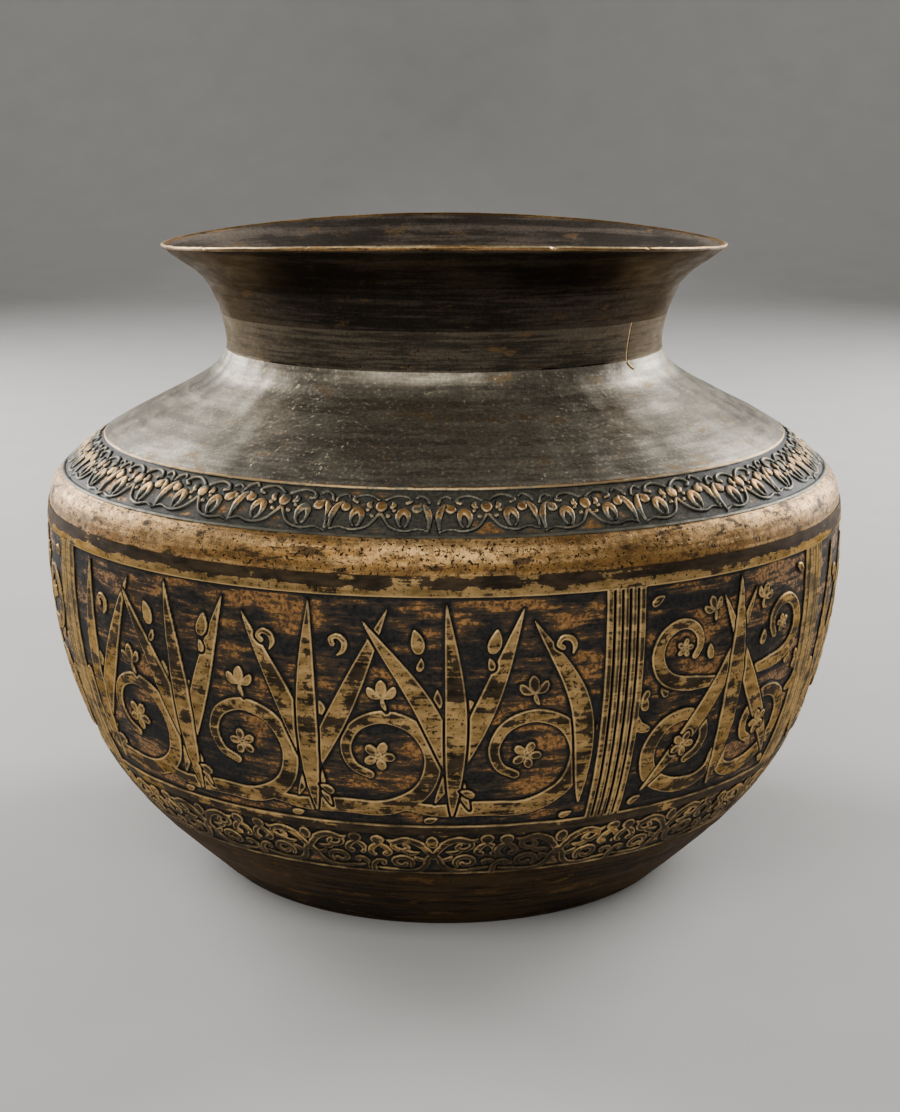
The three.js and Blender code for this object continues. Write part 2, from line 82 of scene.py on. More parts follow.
stretches = [stretch(a, b) for a, b in zip(STATIONS, STATIONS[1:])]
outline = np.concatenate([stretches[0]] + [one[1:] for one in stretches[1:]])
outline_run = np.concatenate([[0], np.cumsum(np.abs(np.diff(outline)))])
tangent = np.gradient(outline)
normal = -1j * tangent / np.abs(tangent)
widest = max(v.co.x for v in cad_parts["bowl_wall"].data.vertices) / MM
print("the wall runs", round(outline_run[-1], 1), "mm from foot to mouth")
print("belly of outline and frame:", round(outline.real.max(), 2), round(widest, 2), "mm")

# %% [markdown]
# ## Places on the pot
# Ornament is laid out in millimetres along the wall and in degrees round the pot. on_pot turns
# such a place into a point in space, lifted off the wall or let into it. Angles grow from the
# front towards the right. The lip isn't flat: it rises at the front and back and dips at the
# sides, as a mouth that was hammered by hand does, so every point near it is bent the same way.

# %% From the wall to space
LIP_SADDLE = 2.3  # how far the lip rises at the front and dips at the sides, in mm


def run_at(height):
    """How far up the wall, in mm along it, a height in mm lies."""
    return float(np.interp(height, outline.imag, outline_run))


def middle_radius(band):
    """The pot's radius in the middle of a band that is given as two runs."""
    return float(np.interp((band[0] + band[1]) / 2, outline_run, outline.real))


def bend(x, y, z):
    """Bends the upper part into the saddle of the lip, more and more from the waist up."""
    share = np.clip((z - WAIST[1]) / (MOUTH[1] - WAIST[1]), 0, 1.1)**2
    spread = (y**2 - x**2) / np.maximum(x**2 + y**2, 1e-9)
    return np.stack([x, y, z + LIP_SADDLE * share * spread], axis=-1)


def on_pot(run, angle, lift=0.0):
    """Points in mm for runs (rows) and angles (columns), lifted along the wall's normal."""
    run = np.asarray(run, float)[:, None]
    turn = np.radians(np.asarray(angle, float))[None, :]
    point = np.interp(run, outline_run, outline.real) + 1j * np.interp(run, outline_run, outline.imag)
    out = np.interp(run, outline_run, normal.real) + 1j * np.interp(run, outline_run, normal.imag)
    lifted = point + out * lift
    return bend(lifted.real * np.sin(turn), -lifted.real * np.cos(turn), lifted.imag + 0 * turn)


def round_angles(count):
    """Evenly spaced angles once round the pot, starting at the back."""
    return -180.0 + 360.0 * np.arange(count) / count


def angle_between(angle, other):
    """How far an angle lies from another, the short way round."""
    return (np.asarray(angle) - other + 180.0) % 360.0 - 180.0


def between(low, high, grid):
    """Evenly spaced places from low to high, about a grid step apart."""
    return np.linspace(low, high, max(2, round((high - low) / grid) + 1))


print("the belly is", round(run_at(BELLY[1]), 1), "mm up the wall")

# %% [markdown]
# ## Unevenness
# Nothing on a hammered pot is quite smooth. A sum of waves with random directions gives soft
# dents that meet themselves after one turn, because each wave fits a whole number of times.

# %% Soft dents
WAVES = 16


def dents(run, angle, size, seed):
    """Soft random waves about as long as size, in mm, most of them between -1 and 1."""
    draw = np.random.default_rng(seed)
    run = np.asarray(run, float)[:, None]
    turn = np.radians(np.asarray(angle, float))[None, :]
    total = np.zeros(np.broadcast_shapes(run.shape, turn.shape))
    for _ in range(WAVES):
        length = size * draw.uniform(0.7, 1.6)
        way = draw.uniform(0, math.pi)
        times = round(2 * math.pi * BELLY[0] * math.cos(way) / length)
        rise = 2 * math.pi * math.sin(way) / length
        total += np.sin(times * turn + rise * run + draw.uniform(0, 2 * math.pi))
    return total / math.sqrt(WAVES)


print("dents stay within", round(float(np.abs(dents([10, 20], round_angles(90), 12, 1)).max()), 2))

# %% [markdown]
# ## Pieces of sheet metal
# Each piece is a closed body with an outer face, an inner face and narrow rims. We could thicken
# a single surface with a modifier, but then the finely carved outer face would be copied inside.
# Here the inner face has few rows, so that the fine faces go where the eye is. The texture
# layout is cut into strips that are stacked, so that a long band doesn't waste its picture.

# %% Faces and texture corners of a grid
INNER_SHARE = 0.1  # of the texture layout's height, for the inner face, the rims and the ends
INNER_FACE, LOW_RIM, HIGH_RIM = (0, 0.08), (0.084, 0.088), (0.092, 0.096)
END_MIDDLE, END_SIZE = 0.09, 0.001


def quads(first, rows, columns, around, flip=False):
    """Corner numbers of a grid's faces, row by row."""
    row = np.arange(rows - 1)[:, None]
    column = np.arange(columns if around else columns - 1)[None, :]
    beside = (column + 1) % columns
    a, b = first + row * columns + column, first + row * columns + beside
    corners = np.stack([a, b, b + columns, a + columns], axis=-1).reshape(-1, 4)
    return corners[:, ::-1] if flip else corners


def layout(rows, columns, strips, low, high):
    """Texture corners of a grid's faces, with its columns cut into stacked strips."""
    row, column = np.meshgrid(np.arange(rows), np.arange(columns), indexing="ij")
    per_strip = -(-columns // strips)
    strip, place = column // per_strip, column % per_strip
    u0, u1 = place / per_strip, (place + 1) / per_strip
    v0, v1 = (strip + row / rows) / strips, (strip + (row + 1) / rows) / strips
    corners = np.stack([u0, v0, u1, v0, u1, v1, u0, v1], axis=-1).reshape(-1, 4, 2)
    corners[..., 1] = low + (high - low) * corners[..., 1]
    return corners


print("a grid of 3 by 4 points has", len(quads(0, 3, 4, around=False)), "faces, and",
      len(quads(0, 3, 4, around=True)), "when it goes round")

# %% A closed piece from an outer and an inner face
SHARP_EDGE = math.radians(80)
OUTSIDE, INSIDE = 0, 1  # the piece's first finish and its second


def closed_piece(name, outer, inner, around, strips=1, marks=None):
    """Makes a closed mesh from two grids of points in mm that share their columns."""
    rows, columns = outer.shape[:2]
    inner_rows, count = inner.shape[0], rows * columns
    steps = columns if around else columns - 1
    side = np.arange(steps)
    beside = (side + 1) % columns
    top, inner_top = (rows - 1) * columns, count + (inner_rows - 1) * columns
    low_rim = np.stack([count + side, count + beside, beside, side], axis=-1)
    high_rim = np.stack([top + side, top + beside, inner_top + beside, inner_top + side], axis=-1)
    groups = [
        (quads(0, rows, columns, around), layout(rows - 1, steps, strips, INNER_SHARE, 1)),
        (quads(count, inner_rows, columns, around, flip=True),
         layout(inner_rows - 1, steps, 1, *INNER_FACE)[:, ::-1]),
        (low_rim, layout(1, steps, 1, *LOW_RIM)),
        (high_rim, layout(1, steps, 1, *HIGH_RIM)),
    ]
    faces = [face for corners, _ in groups for face in corners.tolist()]
    texture = [spots.reshape(-1, 2) for _, spots in groups]
    if not around:
        for column, order in ((0, 1), (columns - 1, -1)):
            up = [row * columns + column for row in range(rows)]
            down = [count + row * columns + column for row in reversed(range(inner_rows))]
            faces.append((up + down)[::order])
            turn = np.linspace(0, 2 * math.pi, rows + inner_rows, endpoint=False)
            texture.append(END_MIDDLE + END_SIZE * np.stack([np.cos(turn), np.sin(turn)], axis=-1))
    mesh = bpy.data.meshes.new(name)
    points = np.concatenate([outer.reshape(-1, 3), inner.reshape(-1, 3)]) * MM
    mesh.from_pydata(points.tolist(), [], faces)
    mesh.uv_layers.new(name="OFBake").data.foreach_set("uv", np.concatenate(texture).ravel())
    finish_of = np.full(len(faces), OUTSIDE, np.int32)
    outer_faces, inner_faces = len(groups[0][0]), len(groups[1][0])
    finish_of[outer_faces:outer_faces + inner_faces] = INSIDE
    mesh.polygons.foreach_set("material_index", finish_of)
    for mark, grid in (marks or {}).items():
        values = np.concatenate([grid.ravel(), np.full(inner_rows * columns, grid.max())])
        mesh.attributes.new(mark, "FLOAT", "POINT").data.foreach_set("value", values)
    mesh.shade_smooth()
    mesh.set_sharp_from_angle(angle=SHARP_EDGE)
    piece = bpy.data.objects.new(name, mesh)
    bpy.context.scene.collection.objects.link(piece)
    print(name, len(faces), "faces")
    return piece


def dress(piece, slot, finishes, *nodes):
    """Gives a piece its finishes and its body, and hides the nodes that it stands for. The slot is not used.
    """
    for finish in finishes:
        piece.data.materials.append(finish)
    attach(piece, "root")
    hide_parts(*nodes)


print("edges sharper than", round(math.degrees(SHARP_EDGE)), "degrees stay crisp")

# %% [markdown]
# ## Brush strokes
# The ornament is a drawing made of strokes that swell and taper, like leaves and tendrils.
# A stroke is a centre line and a half width at each of its points. Places in a drawing are
# complex numbers, across plus up times 1j, in mm, because turning and mirroring them is then
# one multiplication.

# %% Strokes
def path(*knots, spacing=0.8):
    """A smooth line through its knots."""
    given = np.array(knots, complex)
    before, after = [2 * given[0] - given[1]], [2 * given[-1] - given[-2]]
    knot = np.concatenate([before, given, after])
    runs = []
    for a, b, c, d in zip(knot, knot[1:], knot[2:], knot[3:]):
        t = np.arange(max(3, int(abs(c - b) / spacing)))
        t = t / len(t)
        cube = (3 * b - a - 3 * c + d) * t**3
        runs.append((2 * b + (c - a) * t + (2 * a - 5 * b + 4 * c - d) * t**2 + cube) / 2)
    return np.concatenate(runs + [given[-1:]])


def share_along(points):
    """How far along its line each point lies, from 0 to 1."""
    run = np.concatenate([[0], np.cumsum(np.abs(np.diff(points)))])
    return run / run[-1]


def brush(points, *widths):
    """A stroke whose width goes through the given widths, evenly spaced along it."""
    return points, np.interp(share_along(points), np.linspace(0, 1, len(widths)), widths) / 2


def leaf(width, *knots, fullness=0.8):
    """A pointed leaf. A fullness under 1 puts its widest part nearer the stalk."""
    points = path(*knots)
    return points, 0.12 + width / 2 * np.sin(np.pi * share_along(points)**fullness)**0.9


def bead(centre, radius):
    """A round dot."""
    return np.array([centre, centre + 0.01]), np.array([radius, radius])


def moved(strokes, shift=0, turn=0, size=1, mirror=False):
    """The strokes mirrored, turned, sized and shifted, in that order."""
    spin = size * np.exp(1j * math.radians(turn))
    return [(shift + spin * (-np.conj(p) if mirror else p), half * size) for p, half in strokes]


def mirrored(strokes):
    """The strokes together with their mirror image."""
    return strokes + moved(strokes, mirror=True)


print("a leaf 3 mm wide is", round(2 * float(leaf(3, 0, 4j, 8j)[1].max()), 2), "mm at its widest")

# %% [markdown]
# ## Carving
# Each place on the ground keeps its distance to the nearest stroke: negative on the stroke,
# positive beside it. From that one number come the height of the relief, its dark outline and
# its worn edge. We could push the strokes out of the mesh one by one, but they cross and touch,
# and distances simply take the nearest. A group of strokes that lies over an earlier one cuts a
# thin gap into it.

# %% Distance to the strokes
FAR = 3.0  # beyond this distance, in mm, a stroke no longer matters
OVERLAP_GAP = 0.75  # mm of dark ground along a stroke that crosses another


def carve(field, across, up, strokes, gap=OVERLAP_GAP):
    """Adds a group of strokes to a field of distances. across and up are the grid's places."""
    own = np.full(field.shape, FAR)
    for points, half in strokes:
        for a, b, at_a, at_b in zip(points, points[1:], half, half[1:]):
            reach = max(at_a, at_b) + FAR
            left, right = min(a.real, b.real) - reach, max(a.real, b.real) + reach
            low, high = min(a.imag, b.imag) - reach, max(a.imag, b.imag) + reach
            columns = slice(*np.searchsorted(across, [left, right]))
            rows = slice(*np.searchsorted(up, [low, high]))
            spot = across[None, columns] + 1j * up[rows, None]
            along = b - a
            share = np.clip(((spot - a) * np.conj(along)).real / abs(along)**2, 0, 1)
            distance = np.abs(spot - a - share * along) - (at_a + share * (at_b - at_a))
            own[rows, columns] = np.minimum(own[rows, columns], distance)
    return np.minimum(own, np.maximum(field, gap - own))


# %% From distance to height
RELIEF_DEPTH = 1.05  # from the top of the relief to the metal ground under the lac, in mm
SLOPE_START, SLOPE_END = -0.22, 0.42  # where the side of a stroke starts and ends, in mm
EDGE_WEAR, EDGE_REACH = 0.1, 0.6  # how far a stroke's edge is worn down, and how far in, in mm


def relief(field):
    """Lift of the carved metal: 0 on top of a stroke, and the ground beside it."""
    fall = np.clip((field - SLOPE_START) / (SLOPE_END - SLOPE_START), 0, 1)
    soft_edge = EDGE_WEAR * np.exp(np.minimum(field, 0) / EDGE_REACH)
    return -RELIEF_DEPTH * fall**2 * (3 - 2 * fall) - soft_edge * (1 - fall)


print("lift on a stroke and beside it:", *relief(np.array([-2.0, 1.0])).round(2), "mm")

# %% [markdown]
# ## Bands round the pot
# Two scroll bands run round the pot. The lower one repeats a pair of scrolls that spring from a
# crossing, with a lozenge on it and stalks with round tops between. The upper one is smaller and
# finer: thin roots and arms carry a thick open ring, a hook with a round head, and small beads.
# Each repeat is drawn by a slightly unsteady hand, so no two are quite alike, and the strokes
# are cut a little broader than drawn, because they have to stand wear.

# %% Where the bands lie, in mm along the wall
LOWER_SCROLL = (run_at(33.0), run_at(51.2))
PANELS = (run_at(55.0), run_at(135.3))
HOOP = (run_at(142.0), run_at(152.8))
UPPER_SCROLL = (run_at(153.7), run_at(165.1))
NECK_RING = (run_at(195.5), run_at(209.0))
for label, band in (("lower scroll", LOWER_SCROLL), ("panels", PANELS), ("upper scroll", UPPER_SCROLL)):
    print(label, "band is", round(band[1] - band[0], 1), "mm wide")


# %% The lower scroll's motif
def lower_scroll():
    """One repeat, about 42 mm wide and 22 mm high, centred on its crossing."""
    arm = brush(path(9.4j, -1.5 + 13.2j, -4.2 + 17.2j, -8.4 + 19.2j, -12.2 + 18.0j, -14.9 + 19.4j),
                1.5, 1.9, 2.3, 2.2, 2.3, 0.3)
    curl = brush(path(-12.4 + 18.4j, -12.6 + 15.6j, -10.2 + 13.8j, -7.9 + 15j, -8.8 + 16.6j),
                 1.3, 1.7, 1.6, 1.4, 1.5)
    inner_leaf = leaf(1.7, -9.6 + 13.9j, -7 + 12.2j, -4 + 13j)
    foot = brush(path(12j, -1.7 + 9.2j, -2.7 + 5.4j, -5.2 + 2.2j, -10 + 1.2j, -15.4 + 2.4j, -20.4 + 3.6j),
                 1.5, 1.8, 1.9, 1.9, 1.6, 1.2, 0.5)
    angles = np.radians(np.linspace(-40, 330, 40))
    volute = brush(-10.7 + 6.9j + np.linspace(3.9, 1.5, 40) * np.exp(1j * angles), 1.2, 1.8, 1.9, 1.7, 1.6)
    spur = leaf(1.5, -2.6 + 8j, -4.8 + 8.8j, -6.4 + 10.6j)
    stalk = [bead(17.5 + 19.0j, 1.75), brush(path(17.5 + 18.6j, 17.5 + 16.6j), 2.4, 1.0),
             brush(path(17.5 + 17j, 15.4 + 15.2j, 14.2 + 12.6j, 15.2 + 11.2j), 1.2, 1.9, 1.8, 1.6),
             brush(path(17.5 + 17j, 19.6 + 15j, 20.3 + 12.4j, 19.2 + 11.2j), 1.2, 1.8, 1.7, 1.3),
             bead(15.4 + 11.6j, 1.1),
             brush(path(20.9 + 1.5j, 20.6 + 5j, 18.6 + 7.6j, 16.6 + 7.2j, 17 + 5.6j),
                   1.9, 1.6, 1.6, 1.4, 1.4)]
    lozenge = [leaf(2.9, 15.6j, 18.1j, 20.6j, fullness=1)]
    return [mirrored([arm, curl, inner_leaf, foot, volute, spur]), mirrored(stalk), lozenge]


print("the lower motif has", sum(len(group) for group in lower_scroll()), "strokes")


# %% The upper scroll's motif
def upper_scroll():
    """One repeat, about 33 mm wide and 18.6 mm high, centred on its lozenge."""
    angles = np.radians(np.linspace(-65, 255, 36))
    ring = brush(7.6 + 6.3j + 1.7 * np.cos(angles) + 3.3j * np.sin(angles), 0.6, 0.8, 1.7, 2.2, 1.9, 1.0, 0.6)
    root = brush(path(9.2j, 1.6 + 6.0j, 4 + 3j, 8.2 + 1.7j, 12.6 + 2.6j, 15.9 + 1.4j),
                 0.9, 0.8, 0.8, 0.8, 0.7, 0.5)
    arm = brush(path(12.8j, 2 + 15j, 5.2 + 16.5j, 8.6 + 15.8j, 9.8 + 14j, 8.4 + 13.1j),
                0.8, 0.9, 0.9, 0.9, 0.9, 1.1)
    hook = brush(path(15.8 + 2.4j, 16 + 5.4j, 15.7 + 8.4j, 14.7 + 11.2j, 14 + 12.4j), 0.7, 1.1, 2.0, 1.9, 1.0)
    head = bead(11.8 + 10.6j, 1.45)
    spur = brush(path(11.4 + 11.4j, 12.7 + 12.4j, 13.2 + 13.4j), 1.8, 1.0, 0.5)
    tip = brush(path(15.8 + 13.2j, 15 + 15.4j, 12.8 + 16.6j, 11.6 + 15.5j), 0.7, 0.9, 0.8, 0.8)
    small_leaf = leaf(1.2, 3 + 10.6j, 4.2 + 12.1j, 3.4 + 13.8j)
    side = [ring, root, arm, hook, head, spur, tip, small_leaf, bead(2.7 + 7.5j, 0.7), bead(4.3 + 9.8j, 0.6)]
    lozenge = [leaf(3.1, 9.7j, 11.3j, 13.1j, fullness=1)]
    return [mirrored(side), lozenge]


# a motif, how many repeats go round, the angle of one, and how much broader its strokes are cut
LOWER_DRAWING = (lower_scroll, 19, -1.8, 1.3)
UPPER_DRAWING = (upper_scroll, 26, 5.6, 1.18)
print("the upper motif has", sum(len(group) for group in upper_scroll()), "strokes")

# %% A band of repeats, as a field of distances
UNSTEADY_TURN, UNSTEADY_SIZE, UNSTEADY_SHIFT = 2.5, 0.045, 0.4  # degrees, share and mm
BAND_GAP = 0.45  # mm of dark ground where strokes of a band cross


def band_field(drawing, band, angle, run, seed):
    """Carves the repeats of a drawing round a band, and the plain rim on both sides of it."""
    motif, count, start, weight = drawing
    draw = np.random.default_rng(seed)
    radius = middle_radius(band)
    across = np.radians(angle) * radius
    up = run - band[0]
    width = 2 * math.pi * radius / count
    height = band[1] - band[0]
    rim = np.minimum(up, height - up)[:, None] + np.zeros(len(angle))[None, :]
    field = np.full((len(run), len(angle)), FAR)
    first = math.floor((angle[0] - start) / (360 / count)) - 1
    hands = [(draw.uniform(-1, 1), draw.uniform(-1, 1), draw.uniform(-1, 1) + 1j * draw.uniform(-1, 1))
             for _ in range(count)]
    for k in range(first, first + count + 3):
        turn, size, shift = hands[k % count]
        middle = np.radians(start) * radius + k * width + 0.5j * height
        for group in motif():
            centred = moved(group, shift=-0.5j * height)
            drawn = moved(centred, shift=middle + UNSTEADY_SHIFT * shift,
                          turn=UNSTEADY_TURN * turn, size=1 + UNSTEADY_SIZE * size)
            broad = [(points, weight * half) for points, half in drawn]
            field = carve(field, across, up, broad, gap=BAND_GAP)
    return np.minimum(field, rim)


for drawing, band in ((LOWER_DRAWING, LOWER_SCROLL), (UPPER_DRAWING, UPPER_SCROLL)):
    pitch = 2 * math.pi * middle_radius(band) / drawing[1]
    print(drawing[0].__name__, "repeats every", round(pitch, 1), "mm")

# %% [markdown]
# ## How a finish is built
# A finish is a small graph of nodes. One helper adds a node and wires it, so that the rest reads
# as a recipe: patterns first, then colours, then the surface itself. Every pattern is measured
# in millimetres on the pot. Two more sets of coordinates are drawn out sideways, a little for
# smears and a lot for streaks, because turning, brushing and rubbing all leave level marks.

# %% Colours, nodes and coordinates
LINEAR_CUT, LINEAR_SLOPE = 0.04045, 12.92
SMEAR_STRETCH, STREAK_STRETCH = 3.0, 14.0  # how much wider than tall smears and streaks are
FACTOR, COLOUR_A, COLOUR_B, MIXED = 0, 6, 7, 2  # the colour sockets of a mix node


def colour(digits):
    """A linear colour from sRGB hex digits."""
    shares = [int(digits[i:i + 2], 16) / 255 for i in (0, 2, 4)]
    linear = [s / LINEAR_SLOPE if s <= LINEAR_CUT else ((s + 0.055) / 1.055)**2.4 for s in shares]
    return (*linear, 1.0)


def add(material, kind, inputs=None, take=0, stops=(), **settings):
    """Adds a node with its settings, and gives back the output to take from it. An input is a
    number, the hex digits of a colour, or another node's output, which is then linked."""
    node = material.node_tree.nodes.new("ShaderNode" + kind)
    for name, value in settings.items():
        setattr(node, name, value)
    for name, value in (inputs or {}).items():
        if isinstance(value, bpy.types.NodeSocket):
            material.node_tree.links.new(value, node.inputs[name])
        else:
            node.inputs[name].default_value = colour(value) if isinstance(value, str) else value
    for number, (place, shade) in enumerate(stops):
        ramp = node.color_ramp.elements
        stop = ramp[number] if number < len(ramp) else ramp.new(place)
        stop.position = place
        stop.color = colour(shade) if isinstance(shade, str) else (shade, shade, shade, 1.0)
    return node.outputs[take] if node.outputs else node


def new_finish(name):
    """An empty material, the helper that adds nodes to it, and places on the pot in mm: even,
    smeared sideways and in streaks."""
    material = bpy.data.materials.new(name)
    material.use_nodes = True
    material.node_tree.nodes.clear()
    node = partial(add, material)
    place = node("TexCoord", take="Object")
    places = []
    for wider in (1.0, SMEAR_STRETCH, STREAK_STRETCH):
        scale = (1 / MM / wider, 1 / MM / wider, 1 / MM)
        places.append(node("VectorMath", {0: place, 1: scale}, operation="MULTIPLY"))
    print("making", name)
    return material, node, *places


print("brass gold in linear light:", [round(v, 3) for v in colour("B98A4E")[:3]])

# %% [markdown]
# ## Carved brass, rubbed by hands
# The raised ornament is yellow brass under a brown-black patina. Hands rubbed the patina off the
# tops in sharp-edged patches, and a thin line along the edge of each stroke is bright nearly
# everywhere, because the metal stands proudest there. Small black pits stay in the rubbed metal.
# The carved sides are near-black: partly patina that stays in the cuts, and partly painted shade
# along the foot of each stroke. The distance to the stroke's edge was stored with the mesh, so
# the finish can follow the drawing exactly. How much metal shows differs with the height: most
# on the frames, less in a narrow band just under the keel, and least low in the lower band,
# which is kept dark there as painted shade under the belly.
# Bare metal is fully metallic, and polished brass has a roughness near 0.2. This brass is dull
# from handling, and its patina is a thin layer of oxide, so both are less metallic and rougher.

# %% Values for the finish of the relief
PATCH_SIZE = 12.0  # mm between a rubbed patch and the next
CARVED_STREAK, TONE_SIZE = 1.6, 3.0  # mm between level streaks, and between changes of tone
PIT_SIZE = 1.25  # mm; the real pits are nearer to 0.5 mm, but they would vanish in the picture
SCRATCH_SIZE = 0.8  # mm, drawn coarser than real scratches for the same reason
RUBBED_FROM = 1.22  # how much rubbing bares the metal
RIM_FROM, RIM_FULL = -0.7, -0.35  # the bright line along a stroke's edge, as distances in mm
# the strokes' dark sides: patina in the cuts and painted shade
SIDE_FROM, SIDE_FULL = -0.2, 0.05  # the dark side of a stroke, as distances in mm
SOOT_PLACE, SOOT_REACH = (25.0, -122.0, 41.0), 12.0  # a scorched place in the lower band, in mm
RUBBING_HEIGHT = 200.0  # mm; the heights below are shares of it
# how much metal shows by height on the bowl; the low values at the bottom are painted shade under the belly
BOWL_RUBBING_AND_SHADE = [(0.0, 0.34), (0.195, 0.35), (0.22, 0.46), (0.25, 0.45), (0.258, 0.4), (0.274, 0.44),
                (0.282, 0.53), (0.672, 0.53), (0.679, 0.62), (0.69, 0.58), (0.694, 0.39), (0.712, 0.42)]
SHOULDER_RUBBING = [(0.0, 0.22), (0.786, 0.24), (0.791, 0.57), (0.807, 0.64), (0.812, 0.24),
                    (0.819, 0.26), (0.823, 0.6)]
most = max(BOWL_RUBBING_AND_SHADE, key=lambda stop: stop[1])
print("the bowl is rubbed most at", round(most[0] * RUBBING_HEIGHT, 1), "mm, along the panels' frames")


# %% The finish of the relief
def carved_brass(name, rubbed_by_height, dark_low, dark_high, gold_low, gold_high, rim_tone, side_patina_and_shade,
                 dark_roughness=0.6, dark_metallic=0.4, edge_tint="C4AE8A"):
    """Brass that is rubbed through its patina on the tops, and dark on the sides of the strokes from patina
    and painted shade.
    """
    finish, node, place, smear, drawn = new_finish(name)
    edge = node("Attribute", take="Fac", attribute_name="edge")

    # wear: ragged patches and streaks, more or less of them by height, and none in the soot; on the bowl,
    # less at the bottom is painted shade
    patch = node("TexNoise", {"Vector": place, "Scale": 1 / PATCH_SIZE, "Detail": 9.0, "Roughness": 0.68})
    streak = node("TexNoise", {"Vector": drawn, "Scale": 1 / CARVED_STREAK, "Detail": 5.0, "Roughness": 0.6})
    wear = node("Math", {0: streak, 1: 0.45, 2: patch}, operation="MULTIPLY_ADD")
    height = node("SeparateXYZ", {"Vector": place}, "Z")
    share = node("MapRange", {"Value": height, "From Min": 0.0, "From Max": RUBBING_HEIGHT})
    by_height = node("ValToRGB", {"Fac": share}, stops=rubbed_by_height)
    wear = node("Math", {0: wear, 1: by_height}, operation="ADD")
    sooty = node("VectorMath", {0: place, 1: SOOT_PLACE}, "Value", operation="DISTANCE")
    sooty = node("MapRange", {"Value": sooty, "From Min": 0.6 * SOOT_REACH, "From Max": SOOT_REACH,
                              "To Min": 0.5, "To Max": 0.0})
    wear = node("Math", {0: wear, 1: sooty}, operation="SUBTRACT")
    pit = node("TexNoise", {"Vector": place, "Scale": 1 / PIT_SIZE, "Detail": 2.0, "Roughness": 0.6})
    pit = node("MapRange", {"Value": pit, "From Min": 0.6, "From Max": 0.66})
    bared = node("MapRange", {"Value": wear, "From Min": RUBBED_FROM, "From Max": RUBBED_FROM + 0.05},
                 interpolation_type="SMOOTHSTEP")
    rubbed = node("Math", {0: bared, 1: pit}, operation="SUBTRACT", use_clamp=True)

    # colours: gold or dark on the tops, a bright line along the edge, and dark sides of patina and painted
    # shade
    tone = node("TexNoise", {"Vector": smear, "Scale": 1 / TONE_SIZE, "Detail": 6.0, "Roughness": 0.65})
    gold = node("ValToRGB", {"Fac": tone}, stops=[(0.36, gold_low), (0.64, gold_high)])
    dark = node("ValToRGB", {"Fac": tone}, stops=[(0.36, dark_low), (0.66, dark_high)])
    top = node("Mix", {FACTOR: rubbed, COLOUR_A: dark, COLOUR_B: gold}, MIXED, data_type="RGBA")
    rim = node("MapRange", {"Value": edge, "From Min": RIM_FROM, "From Max": RIM_FULL})
    rim_wear = node("MapRange", {"Value": wear, "From Min": RUBBED_FROM - 0.2, "From Max": RUBBED_FROM + 0.05,
                                 "To Min": 0.08, "To Max": 0.75})
    rim = node("Math", {0: rim, 1: rim_wear}, operation="MULTIPLY")
    lit = node("Mix", {FACTOR: rim, COLOUR_A: top, COLOUR_B: rim_tone}, MIXED, data_type="RGBA")
    side = node("MapRange", {"Value": edge, "From Min": SIDE_FROM, "From Max": SIDE_FULL})
    shade = node("Mix", {FACTOR: side, COLOUR_A: lit, COLOUR_B: side_patina_and_shade}, MIXED, data_type="RGBA")

    # surface: bare metal is at least as smooth, more metallic and finely scratched
    roughness = node("MapRange", {"Value": rubbed, "To Min": dark_roughness, "To Max": 0.42})
    metallic = node("MapRange", {"Value": rubbed, "To Min": dark_metallic, "To Max": 0.85})
    scratch = node("TexNoise", {"Vector": place, "Scale": 1 / SCRATCH_SIZE, "Detail": 3.0, "Roughness": 0.7})
    level = node("Math", {0: scratch, 1: rubbed}, operation="ADD")
    bumps = node("Bump", {"Height": level, "Strength": 0.5, "Distance": 0.16 * MM})
    surface = node("BsdfPrincipled", {"Base Color": shade, "Metallic": metallic, "Roughness": roughness,
                                      "Normal": bumps, "Specular Tint": edge_tint})
    node("OutputMaterial", {"Surface": surface})
    return finish


# the last tone of each is the near-black of the strokes' sides: patina and painted shade
CARVED_BRASS = carved_brass("carved_brass_rubbed_with_painted_shade", BOWL_RUBBING_AND_SHADE, "1B1815", "4A3C2C",
                            "7B6237", "C49F68", "E4C188", "0E0C0A")
SHOULDER_CARVING = carved_brass("carved_brass_slate_patina_and_painted_shade", SHOULDER_RUBBING, "4A4942", "7A7664",
                                "94693A", "D8A25E", "BBA67E", "1F1E1B", dark_roughness=0.42,
                                dark_metallic=0.7, edge_tint="FFFFFF")

# %% [markdown]
# ## Black lac
# Lac is a resin, melted into the cut-back ground and scraped level. It is black and dull. Where
# it was scraped thin it turns brown, and where it has come away, the copper-coloured metal below
# shows in ragged patches that lie level, with crumbs of lac left in them. It stays deepest and
# blackest along the foot of each stroke, and that black is partly painted shade beside the relief.
# On the shoulder old dust lies in it, and it is greyer.
# A resin isn't a metal and keeps the usual IOR of 1.5. A scraped face scatters what it reflects,
# so it is rough, and its specular level is low.

# %% The finish of the ground
LAC_PATCH, LAC_STREAK, LAC_REGION = 7.5, 1.4, 45  # mm between bare patches, streaks and worn regions
BARE_FROM = 0.825  # how much scraping bares the metal
THIN_BEFORE = 0.08  # how much less scraping thins the lac already


